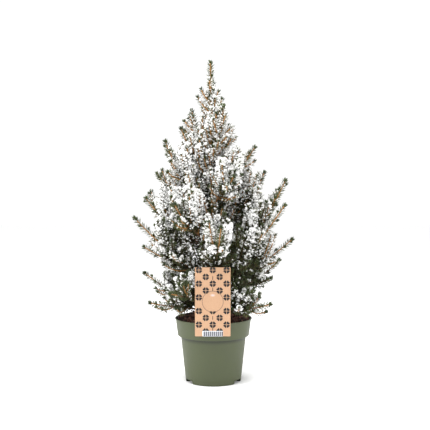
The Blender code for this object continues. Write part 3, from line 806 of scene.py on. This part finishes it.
bough_bark = mottled("bough_bark", (0.045, 0.024, 0.015), (0.190, 0.098, 0.050), 420, 0.90, bump=0.0004)
boughs = grow_limbs("bough_bark", bough_lines, 12, bough_bark, relief=0.0009, plate=0.0025)
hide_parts(*[f"bough_{name}" for name, line, start in crown if start == MASS_ENTRY])
young_bark = mottled("young_bark", (0.340, 0.160, 0.048), (0.490, 0.250, 0.088), 300, 0.75)
grow_limbs("stem_bark", stem_lines, 8, young_bark, relief=0.0003, plate=0.002)
aged_bark = mottled("aged_bark", (0.080, 0.040, 0.018), (0.210, 0.105, 0.042), 350, 0.85)
grow_limbs("aged_stem_bark", aged_lines, 8, aged_bark, relief=0.0003, plate=0.002)


# The shoots. Side shoots spiral up each stem by the golden angle, lean forward and turn upward.
# Shorter ones fill the crown's inside and foot, and twigs and fat buds sit on them. Their wood is
# slim, orange-tan in the light and painted dark brown inside, as shade.
GOLDEN_ANGLE, PLACE_STEP = math.radians(137.5), 0.7549
NEEDLE_REACH, RING_LENGTH = 0.0112, 0.0146
CROWN_REACH = (
    (0.150, 0.080), (0.180, 0.122), (0.240, 0.150), (0.330, 0.160), (0.400, 0.152),
    (0.450, 0.130), (0.500, 0.102), (0.540, 0.078), (0.600, 0.044), (0.705, 0.014),
)

# How many more shoots each of a tier's stems tries for, and how long they get.
MORE_SHOOTS = {
    "skirt": (15, 0.060), "lower": (20, 0.104), "middle": (22, 0.106),
    "upper": (15, 0.096), "shoulder": (7, 0.068), "leader": (4, 0.040),
}
FIRST_SHOOT, MOST_SIDE_SHOOTS, LEADER_SHARE = 0.014, 6, 0.75
INNER_BELOW, TWIGS_BELOW, TWIG_STEP, TWIG_LENGTH = 0.36, 0.44, 0.080, 0.026
BUD_STEP, BUD_LENGTH = 0.0155, 0.009


def side_shoots(
    stem, start, dice, tries=24, longest=0.066, last=0.73,
    shortening=0.50, rise=1.00, spread=0.80, lift=0, most=0.42,
):
    """Places for shoots, spread evenly along the stem and spiralling round it by the golden angle."""
    first = start + FIRST_SHOOT / stem.length
    angle = dice.uniform(0, math.tau)
    along = 0
    for _ in range(tries):
        root = stem.at(first + (last - first) * along)
        ahead = stem.ahead(first + (last - first) * along)
        side = Quaternion(ahead, angle) @ ahead.orthogonal().normalized()
        leave = (ahead * 0.60 + side * spread + Vector((0, 0, lift))).normalized()
        upward = (leave + Vector((0, 0, rise))).normalized()
        length = longest * (1 - shortening * along) * dice.uniform(0.85, 1.10)
        half = min(length, stem.length * most) / 2
        yield Path(root, root + leave * half, root + (leave + upward) * half)
        angle += GOLDEN_ANGLE
        along = (along + PLACE_STEP) % 1


def bud_shoots(stem, start, dice):
    """Short fat buds of new growth, pressed close to the outer part of a free shoot."""
    angle = dice.uniform(0, math.tau)
    for place in np.arange(start * stem.length + BUD_STEP, stem.length - 0.010, BUD_STEP):
        share = (place + dice.uniform(-0.003, 0.003)) / stem.length
        ahead = stem.ahead(share)
        side = Quaternion(ahead, angle) @ ahead.orthogonal().normalized()
        root = stem.at(share) + side * 0.001
        leave = ahead * 0.88 + side * 0.48
        yield Path(root, root + leave * (BUD_LENGTH / 2), root + leave * BUD_LENGTH)
        angle += GOLDEN_ANGLE


def in_front_of_label(points, room=NEEDLE_REACH):
    """Whether a shoot would come through the label or in front of it."""
    for point in points:
        beside = abs(point.x - CARD_MIDDLE) - CARD_WIDTH / 2 - room
        above = point.z - CARD_FOOT - CARD_HEIGHT - room
        if beside < 0 and above < 0 and point.y + RIM_RADIUS - room - 0.002 < 0:
            return True
    return False


def in_the_pot(points, room=NEEDLE_REACH):
    """Whether a shoot would reach down into the pot, its rim or the mulch."""
    lowest, widest = POT_HEIGHT + room + 0.003, RIM_RADIUS + room
    return any(point.z < lowest and point.xy.length < widest for point in points)


def crown_reach(height):
    """How far the crown's free shoots usually stand out from the trunk at a height."""
    heights, reaches = zip(*CROWN_REACH)
    return np.interp(height, heights, reaches)


class TakenSpace:
    """Points along every limb and shoot already placed, with the radius that each one keeps free."""

    def __init__(self):
        self.places, self.radii, self.owners = np.empty((0, 3)), np.empty(0), np.empty(0, int)

    def add(self, points, radius, owner):
        """Takes the space along a limb or shoot for its owner."""
        self.places = np.vstack([self.places, np.array(points)])
        self.radii = np.concatenate([self.radii, np.full(len(points), radius)])
        self.owners = np.concatenate([self.owners, np.full(len(points), owner)])

    def is_free(self, points, radius, owner):
        """Whether nothing of another owner comes too close."""
        others = self.owners != owner
        away = np.linalg.norm(np.array(points)[:, None] - self.places[others][None], axis=2)
        return bool((away > radius + self.radii[others][None]).all())


def throw_for_needles(line, start, dice):
    """Nine throws for each ring of needles that the solids have, so that the next shoot agrees."""
    points = line.points(start, 1, 0.002)
    length = sum((b - a).length for a, b in zip(points, points[1:]))
    for _ in range(9 * (max(2, round(length / RING_LENGTH)) - 1)):
        dice.random()


# First the shoots that the solids have too, each clear of every other stem's.
taken = TakenSpace()
for height in np.arange(GROUND, TRUNK_TOP, 0.003):
    taken.add([trunk_axis(height)], trunk_radius(height) + SOLIDS_GAP, -1)
for owner, (name, stem, start) in enumerate(crown):
    if start == MASS_ENTRY:
        taken.add(stem.points(trunk_radius(stem.foot.z) / stem.length, MASS_ENTRY), 0.0035, -2 - owner)
    taken.add(stem.points(start + RING_LENGTH / stem.length, 1), NEEDLE_REACH, owner)

shoots = []
for owner, (name, stem, start) in enumerate(crown):
    dice = random.Random(100 + owner)
    throw_for_needles(stem, start, dice)
    placed = 0
    for shoot in side_shoots(stem, start, dice):
        beyond_root = shoot.points(NEEDLE_REACH / shoot.length, 1)
        if (
            placed < MOST_SIDE_SHOOTS
            and not in_front_of_label(beyond_root)
            and not in_the_pot(beyond_root)
            and taken.is_free(beyond_root, NEEDLE_REACH, owner)
        ):
            throw_for_needles(shoot, 0, dice)
            taken.add(beyond_root, NEEDLE_REACH, owner)
            if name == "leader":
                foot, bend, tip = shoot.foot, shoot.bend, shoot.tip
                shoot = Path(foot, foot.lerp(bend, LEADER_SHARE), foot.lerp(tip, LEADER_SHARE))
            shoots.append((shoot, "side"))
            placed += 1

# Then steeper ones between them, which stay within the crown, and short ones on the boughs.
for owner, (name, stem, start) in enumerate(crown):
    dice = random.Random(500 + owner)
    tries, longest = MORE_SHOOTS[name.split("_")[0]]
    for shoot in side_shoots(
        stem, start, dice, tries=tries, longest=longest, last=0.62,
        shortening=0.25, rise=2.2, spread=0.48, lift=0.50, most=0.55,
    ):
        points = shoot.points(0.1, 1)
        drooping = shoot.bend.z - shoot.foot.z <= -0.3 * (shoot.bend - shoot.foot).length
        outside = shoot.tip.xy.length >= crown_reach(shoot.tip.z) + 0.006
        if not (drooping or outside or in_front_of_label(points) or in_the_pot(points, 0.018)):
            shoots.append((shoot, "side"))
    if start == MASS_ENTRY:
        for shoot in side_shoots(
            stem, 0.02, dice, tries=6, longest=0.060, last=MASS_ENTRY + 0.08, shortening=0.2
        ):
            points = shoot.points(0.2, 1)
            if not (in_front_of_label(points) or in_the_pot(points, 0.014)):
                shoots.append((shoot, "inner"))

# Then those straight on the trunk: along its length, low over the pot, and round its top.
dice = random.Random(77)
core = Path(trunk_axis(0.165), trunk_axis(0.33), trunk_axis(0.500))
for shoot in side_shoots(core, 0, dice, tries=100, longest=0.105, last=1.0, shortening=0.45, rise=1.4):
    points = shoot.points(0.1, 1)
    outside = shoot.tip.xy.length >= crown_reach(shoot.tip.z)
    if not (outside or in_front_of_label(points) or in_the_pot(points, 0.014)):
        shoots.append((shoot, "inner" if shoot.foot.z < INNER_BELOW else "side"))

base = Path(trunk_axis(0.140), trunk_axis(0.175), trunk_axis(0.215))
for shoot in side_shoots(
    base, 0, dice, tries=150, longest=0.088, last=1.0, shortening=0.1, rise=0.30, spread=1.30, most=2
):
    if not (in_front_of_label(shoot.points(0.1, 1), 0.008) or in_the_pot(shoot.points(0.2, 1), 0.006)):
        shoots.append((shoot, "low"))

top = Path(trunk_axis(0.470), trunk_axis(0.530), trunk_axis(0.590))
for shoot in side_shoots(
    top, 0, dice, tries=16, longest=0.062, last=1.0, shortening=0.40, rise=1.6, spread=0.65
):
    shoots.append((shoot, "side"))

# Last the twigs, and the buds on stems and shoots that stand free.
for shoot, kind in list(shoots):
    tries = round(shoot.length / TWIG_STEP)
    if kind == "side" and shoot.foot.z > TWIGS_BELOW:
        tries = 0
    for twig in side_shoots(
        shoot, 0, dice, tries=tries, longest=TWIG_LENGTH, last=0.50, shortening=0.30, rise=0.80
    ):
        points = twig.points(0.3, 1)
        if not (in_front_of_label(points, 0.008) or in_the_pot(points, 0.012)):
            shoots.append((twig, "inner twig" if kind in ("inner", "low") else "twig"))

free_lines = [(stem, 0.05 if name == "leader" else 0.35) for name, stem, start in crown]
for shoot, kind in shoots:
    if kind == "side" and shoot.tip.xy.length > crown_reach(shoot.tip.z) - 0.020:
        free_lines.append((shoot, 0.45))
for line, start in free_lines:
    for bud in bud_shoots(line, start, dice):
        shoots.append((bud, "bud"))


# The needles. Short stiff four-angled needles, set singly all round the wood and pointing forward
# to a brush at the tip: fresh green at the ends, painted dark inside as shade, grey where frost sits on them.
NEEDLE_LENGTH, NEEDLE_WIDTH = 0.0102, 0.0015
SHOOT_RADII, TWIG_RADII = (0.0016, 0.0011), (0.0010, 0.0008)
OLD_WOOD_FOOT, OLD_WOOD_TOP, OLD_WOOD_LOSS = 0.23, 0.42, 0.55

# For each kind of shoot: the needles in the brush at its tip, the step from needle to needle, and
# their length against the usual one.
NEEDLE_SETS = {
    "stem": (16, 0.00082, 1.26),
    "side": (13, 0.00088, 1.18),
    "twig": (9, 0.00105, 0.95),
    "inner": (6, 0.0017, 1.0),
    "inner twig": (4, 0.0020, 0.9),
    "bud": (10, 0.0013, 0.90),
    "low": (8, 0.0011, 1.1),
}


def needle_rows(line, start, kind, seed):
    """Root, heading, length and distance to the tip for each needle of one shoot."""
    brush, spacing, strength = NEEDLE_SETS[kind]
    dice = np.random.default_rng(seed)
    count = max(3, int(line.length * (1 - start) / spacing))
    share = start + (1 - start) * (np.arange(count) + dice.uniform(0, 1, count)) / count
    share = np.concatenate([share, 1 - dice.uniform(0, 0.003, brush) / line.length])
    count += brush
    s = share[:, None]
    foot, bend, tip = (np.array(point) for point in (line.foot, line.bend, line.tip))
    roots = (1 - s) ** 2 * foot + 2 * s * (1 - s) * bend + s**2 * tip
    ahead = unit(2 * (1 - s) * (bend - foot) + 2 * s * (tip - bend))
    aside = unit(np.cross(ahead, (0.31, 0.52, 0.11)))
    across = np.cross(ahead, aside)
    turn = np.arange(count) * GOLDEN_ANGLE + dice.uniform(0, 0.5, count)
    to_tip = (1 - share) * line.length
    lean = np.radians(np.interp(to_tip, (0, 0.003, 0.014), (26, 40, 63)) + dice.uniform(-12, 9, count))
    out = aside * np.cos(turn)[:, None] + across * np.sin(turn)[:, None]
    heads = ahead * np.cos(lean)[:, None] + out * np.sin(lean)[:, None]
    heads[:, 2] += 0.10
    lengths = NEEDLE_LENGTH * dice.uniform(0.80, 1.08, count) * np.interp(to_tip, (0, 0.006), (0.72, 1))
    lengths *= strength
    return roots, heads, lengths, to_tip


lines = []
for name, stem, start in crown:
    entry = start if start == MASS_ENTRY else max(start, trunk_radius(stem.foot.z) / stem.length)
    lines.append((stem, entry, "stem"))
lines += [(shoot, 0.002 / shoot.length, kind) for shoot, kind in shoots]
parts = [needle_rows(line, start, kind, 2000 + i) for i, (line, start, kind) in enumerate(lines)]
roots, heads, lengths, to_tip = (np.concatenate([part[i] for part in parts]) for i in range(4))
spray = np.concatenate([np.full(len(part[0]), i) for i, part in enumerate(parts)])
on_stem = np.array([kind == "stem" for line, start, kind in lines])[spray]
tips = roots + heads * lengths[:, None]

# No needle goes through the label, the rim or the mulch, and old stems have lost about half of theirs.
clear = ~(
    (np.abs(tips[:, 0] - CARD_MIDDLE) < CARD_WIDTH / 2 + 0.001)
    & (tips[:, 1] < -RIM_RADIUS + 0.0015)
    & (tips[:, 2] < CARD_TOP + 0.001)
)
clear &= ~((tips[:, 2] < POT_HEIGHT + 0.004) & (np.hypot(tips[:, 0], tips[:, 1]) < RIM_RADIUS + 0.001))
full_length = np.array([line.length for line, start, kind in lines])[spray]
old_wood = on_stem & (tips[:, 2] < OLD_WOOD_TOP) & (tips[:, 2] > OLD_WOOD_FOOT)
old_wood &= to_tip > 0.45 * full_length
clear &= ~(old_wood & (np.random.default_rng(3).uniform(0, 1, len(roots)) < OLD_WOOD_LOSS))
roots, heads, lengths, to_tip, spray, on_stem, tips = (
    part[clear] for part in (roots, heads, lengths, to_tip, spray, on_stem, tips)
)
middles = roots + heads * lengths[:, None] / 2

# A grid counts the needles in each cell. Nine of them in the way leave about a third of the light.
CELL, CELLS_AHEAD, FADING = 0.006, 25, 9
grid_corner = middles.min(axis=0) - CELL * 2
cells = ((middles - grid_corner) / CELL).astype(int)
last_cell = cells.max(axis=0) + 2
crowded = np.zeros(last_cell + 1)
np.add.at(crowded, tuple(cells.T), 1)


def daylight_at(places):
    """The share of daylight that reaches each place, judged from how many needles stand in its way."""
    light, total = np.zeros(len(places)), 0
    ways = [((0, 0, 1), 2.0)]
    for turn in np.linspace(0, math.tau, 8, endpoint=False):
        ways.append(((math.cos(turn) * 0.77, math.sin(turn) * 0.77, 0.64), 1.0))
        ways.append(((math.cos(turn + 0.4), math.sin(turn + 0.4), 0.05), 0.7))
    for way, weight in ways:
        standing = np.zeros(len(places))
        for step in range(1, CELLS_AHEAD + 1):
            cell = ((places + np.array(way) * step * CELL - grid_corner) / CELL).astype(int)
            standing += crowded[tuple(np.clip(cell, 0, last_cell).T)]
        light += weight * np.exp(-standing / FADING)
        total += weight
    return light / total


# Each shoot has a load of snow by its height and by chance, and each needle a score from that load,
# its daylight and its place, which sorts it into white, frosted or one of three greens.
LOAD_HEIGHTS = (0.16, 0.22, 0.275, 0.315, 0.350, 0.385, 0.44, 0.54, 0.60, 0.68)
LOADS = (-0.20, -0.14, -0.17, 0.36, 0.10, 0.54, 0.56, 0.78, 0.44, 0.30)
GROUP_HEIGHTS = (0.18, 0.24, 0.31, 0.35, 0.43, 0.47, 0.60)
GROUP_LIMITS = (0.22, 0.05, -0.04, 0.08, 0.22, 0.12, 0.60)
CAKED_SCORE, WHITE_SCORE, FROST_SCORE = 0.66, 0.44, 0.39
SEEN_LIGHT, TENDER_LIGHT, OPEN_LIGHT, TENDER_TIP = 0.070, 0.16, 0.30, 0.010

daylight = daylight_at(middles)
fine_patch = np.array([noise.noise(Vector(place) * 140 + Vector((9, 4, 1))) for place in middles])
dice = np.random.default_rng(10)
line_middles = [line.at(0.7) for line, start, kind in lines]
line_heights = [place.z for place in line_middles]
load = np.interp(line_heights, LOAD_HEIGHTS, LOADS)
load += 0.22 * np.array([noise.noise(place * 26) for place in line_middles])
load += dice.normal(0, 0.22, len(lines))
load = np.minimum(load, 0.58)
load += [{"bud": -0.50, "stem": -0.20}.get(kind, 0) for line, start, kind in lines]
load[len(crown) - 1] -= 0.45

# Laden shoots stand in groups inside the crown, and carry caps of snow on their ends.
groups = np.array([noise.noise(place * 42 + Vector((5, 2, 8))) for place in line_middles])
laden = groups + dice.normal(0, 0.12, len(lines)) > np.interp(line_heights, GROUP_HEIGHTS, GROUP_LIMITS)
laden &= [
    kind in ("side", "twig") and line.tip.xy.length < crown_reach(line.tip.z) - 0.010
    for line, start, kind in lines
]
cap_load = np.interp(line_heights, (0.34, 0.46), (0.72, 0.26))[spray]
cap_length = np.interp(line_heights, (0.34, 0.46), (0.020, 0.032))[spray]
cap = cap_load * np.interp(to_tip / cap_length, (0.05, 0.15, 1, 1.5), (-0.2, 1, 0.9, 0))
green_tip = -0.45 * np.interp(to_tip, (0.003, 0.012), (1, 0))
beyond_crown = np.hypot(tips[:, 0], tips[:, 1]) - crown_reach(tips[:, 2])
snow = (
    load[spray]
    + np.interp(daylight, (0.08, 0.15, 0.22, 0.55), (-0.95, -0.42, -0.03, 0.22))
    + 0.34 * heads[:, 2]
    + np.interp(tips[:, 2], (0.38, 0.46), (1.15, 0.95)) * fine_patch
    + np.where(laden[spray], cap, green_tip)
    + np.where(on_stem, -0.40 * np.interp(to_tip, (0.030, 0.070), (1, 0)), 0)
    - 0.35 * np.interp(beyond_crown, (-0.030, -0.005), (0, 1))
    + dice.normal(0, 0.12, len(roots))
)
seen = daylight > SEEN_LIGHT
white = (snow > WHITE_SCORE) & seen
frosted = (snow > FROST_SCORE) & ~white & seen
bare = ~white & ~frosted
tender = bare & (to_tip < TENDER_TIP) & (daylight > TENDER_LIGHT)
# Bare needles that little daylight reaches are drawn dark, as painted shade.
dark_for_shade = bare & ~tender & (daylight < np.interp(tips[:, 2], (0.44, 0.52), (0.22, 0.12))) & seen
plain = bare & ~tender & ~dark_for_shade & seen
shaded = white & (daylight < OPEN_LIGHT)

# A shoot's wood is young orange-tan where light reaches it, and painted dark brown as shade elsewhere.
wood_light = daylight_at(np.array([shoot.at(0.6) for shoot, kind in shoots]))
lit_wood_lines, shaded_wood_lines = [], []
for (shoot, kind), light in zip(shoots, wood_light):
    if kind == "bud":
        continue
    points = shoot.points(0, 1, 0.012)
    thick, thin = TWIG_RADII if "twig" in kind else SHOOT_RADII
    vigour = np.interp(shoot.foot.z, (0.40, 0.50), (1.0, 1.35))
    radii = list(np.linspace(thick, thin, len(points)) * vigour)
    open_air = light > np.interp(shoot.foot.z, (0.26, 0.34), (0.34, 0.21))
    (lit_wood_lines if open_air and kind != "inner twig" else shaded_wood_lines).append((points, radii))
shoot_wood = mottled("shoot_wood", (0.340, 0.160, 0.048), (0.490, 0.250, 0.088), 200, 0.75)
grow_limbs("shoot_wood", lit_wood_lines, 4, shoot_wood)
# This dark brown is painted shade for the wood inside the crown.
inner_shade_wood = mottled("inner_shade_wood", (0.028, 0.018, 0.007), (0.076, 0.047, 0.018), 300, 0.90)
grow_limbs("inner_shade_wood", shaded_wood_lines, 4, inner_shade_wood)


def model_needle():
    """A slim needle one unit long with three faces round it, drawn to a point at root and tip."""
    bpy.ops.object.select_all(action="DESELECT")
    bpy.ops.mesh.primitive_cone_add(vertices=3, radius1=0.5, radius2=0, depth=1, end_fill_type="TRIFAN")
    needle = bpy.context.object
    for vertex in needle.data.vertices:
        if vertex.co.z > 0:
            vertex.co.z = 1
        elif vertex.co.xy.length < 0.1:
            vertex.co.z = 0
        else:
            vertex.co.z = 0.50
    return shape_of(needle)


def add_pieces(name, shape, places, directions, sizes, finish):
    """Copies of a small shape, in pieces that each stay light enough to handle."""
    most = 190000 // len(shape[1])
    count = math.ceil(len(places) / most)
    pieces = []
    for i in range(count):
        part = slice(i * len(places) // count, (i + 1) * len(places) // count)
        piece_name = name if count == 1 else f"{name}_{i + 1}"
        spins = np.arange(part.stop - part.start) * 1.7
        piece = join_copies(piece_name, shape, places[part], directions[part], sizes[part], spins, finish)
        pieces.append(piece)
    return pieces


def add_needles(name, chosen, width, finish):
    """Needles at the chosen places, a quarter wider on the main stems."""
    chosen = np.flatnonzero(chosen)
    widths = width * np.random.default_rng(5).uniform(0.85, 1.15, len(chosen))
    widths *= np.where(on_stem[chosen], 1.25, 1)
    sizes = np.stack([widths, widths, lengths[chosen]], axis=1)
    return add_pieces(name, needle, roots[chosen], heads[chosen], sizes, finish)


needle = model_needle()
thinned = np.random.default_rng(6).uniform(0, 1, len(roots)) < 0.55
needle_tender = mottled("needle_tender", (0.022, 0.034, 0.006), (0.060, 0.082, 0.016), 60, 0.50)
needle_green = mottled("needle_green", (0.044, 0.054, 0.010), (0.108, 0.124, 0.027), 60, 0.50)
needle_shade_dark = mottled("needle_shade_dark", (0.013, 0.016, 0.002), (0.043, 0.051, 0.008), 60, 0.60)
needle_frost = mottled("needle_frost", (0.210, 0.205, 0.115), (0.470, 0.455, 0.320), 60, 0.70)
tender_needles = add_needles("needles_tender", tender, NEEDLE_WIDTH * 1.15, needle_tender)
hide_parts(*[f"foliage_{name}" for name, line, start in crown])
add_needles("needles_plain", plain | (white & ~shaded), NEEDLE_WIDTH, needle_green)
# Painted shade: bare needles in little daylight, and the needle under snow in shade, take the darkest green.
add_needles("needles_shade_dark", (dark_for_shade | shaded) & thinned, NEEDLE_WIDTH * 1.8, needle_shade_dark)
add_needles("needles_frosted", frosted, NEEDLE_WIDTH * 1.1, needle_frost)


# The snow. Flocked snow that clings in lumps. White needles with a low score carry a thin dust, the
# others are caked over their outer part, and clots sit on the heaviest of those in the light.
DUST_WIDTH = 0.0028


def model_cake():
    """Snow caked on a needle, one unit long and across: a blunt finger, thickest past its middle."""
    bpy.ops.object.select_all(action="DESELECT")
    bpy.ops.mesh.primitive_cone_add(vertices=3, radius1=0.42, radius2=0.56, depth=1, end_fill_type="TRIFAN")
    finger = bpy.context.object
    for vertex in finger.data.vertices:
        if vertex.co.xy.length > 0.1:
            vertex.co.z *= 0.56
    return shape_of(finger)


def model_clot(subdivisions):
    """A small lump of snow one unit across: a ball of a few faces, knocked uneven."""
    bpy.ops.object.select_all(action="DESELECT")
    bpy.ops.mesh.primitive_ico_sphere_add(subdivisions=subdivisions, radius=0.5)
    clot = bpy.context.object
    for vertex in clot.data.vertices:
        vertex.co *= 1 + 0.5 * noise.noise(vertex.co * 3.4)
    return shape_of(clot)


snow_white = mottled("snow_white", (0.90, 0.897, 0.882), (0.97, 0.967, 0.955), 400, 0.85, contrast=2)
topside = np.array((0.0, 0.0, 1.0)) - heads * heads[:, 2:3]
topside /= np.maximum(np.linalg.norm(topside, axis=1, keepdims=True), 0.35)

dusted = np.flatnonzero(white & (snow < CAKED_SCORE))
dust_width = np.full(len(dusted), DUST_WIDTH)
dust_sizes = np.stack([dust_width, dust_width, lengths[dusted] * 0.85], axis=1)
dust_places = roots[dusted] + heads[dusted] * (lengths[dusted] * 0.20)[:, None]
dust_places += topside[dusted] * 0.0008
add_pieces("snow_dust", needle, dust_places, heads[dusted], dust_sizes, snow_white)

dice = np.random.default_rng(21)
caked = np.flatnonzero(white & (snow >= CAKED_SCORE))
heavy = np.interp(snow[caked], (CAKED_SCORE, 1.10), (0, 1))
usual_width = np.interp(tips[caked, 2], (0.38, 0.46), (0.0031, 0.0025))
cake_width = dice.uniform(0.9, 1.1, len(caked)) * usual_width + 0.0014 * heavy
cake_length = lengths[caked] * (np.interp(tips[caked, 2], (0.42, 0.50), (0.62, 0.50)) + 0.22 * heavy)
cake_sizes = np.stack([cake_width, cake_width, cake_length], axis=1)
cake_places = roots[caked] + heads[caked] * (lengths[caked] * 1.04 - cake_length / 2)[:, None]
cake_places += topside[caked] * 0.0009
add_pieces("snow_cakes", model_cake(), cake_places, heads[caked], cake_sizes, snow_white)

for name, shape, least, share, narrow, wide in (
    ("snow_clots_small", model_clot(1), 0.76, 0.36, 0.0032, 0.0050),
    ("snow_clots", model_clot(2), 1.05, 0.18, 0.0052, 0.0082),
):
    seats = caked[(snow[caked] > least) & (daylight[caked] > 0.10) & (dice.uniform(0, 1, len(caked)) < share)]
    clot_sizes = dice.uniform(narrow, wide, len(seats))[:, None] * dice.uniform(0.75, 1.1, (len(seats), 3))
    along = (lengths[seats] * dice.uniform(0.35, 0.85, len(seats)))[:, None]
    clot_places = roots[seats] + heads[seats] * along + (0, 0, 0.0006)
    add_pieces(name, shape, clot_places, dice.normal(0, 1, (len(seats), 3)), clot_sizes, snow_white)
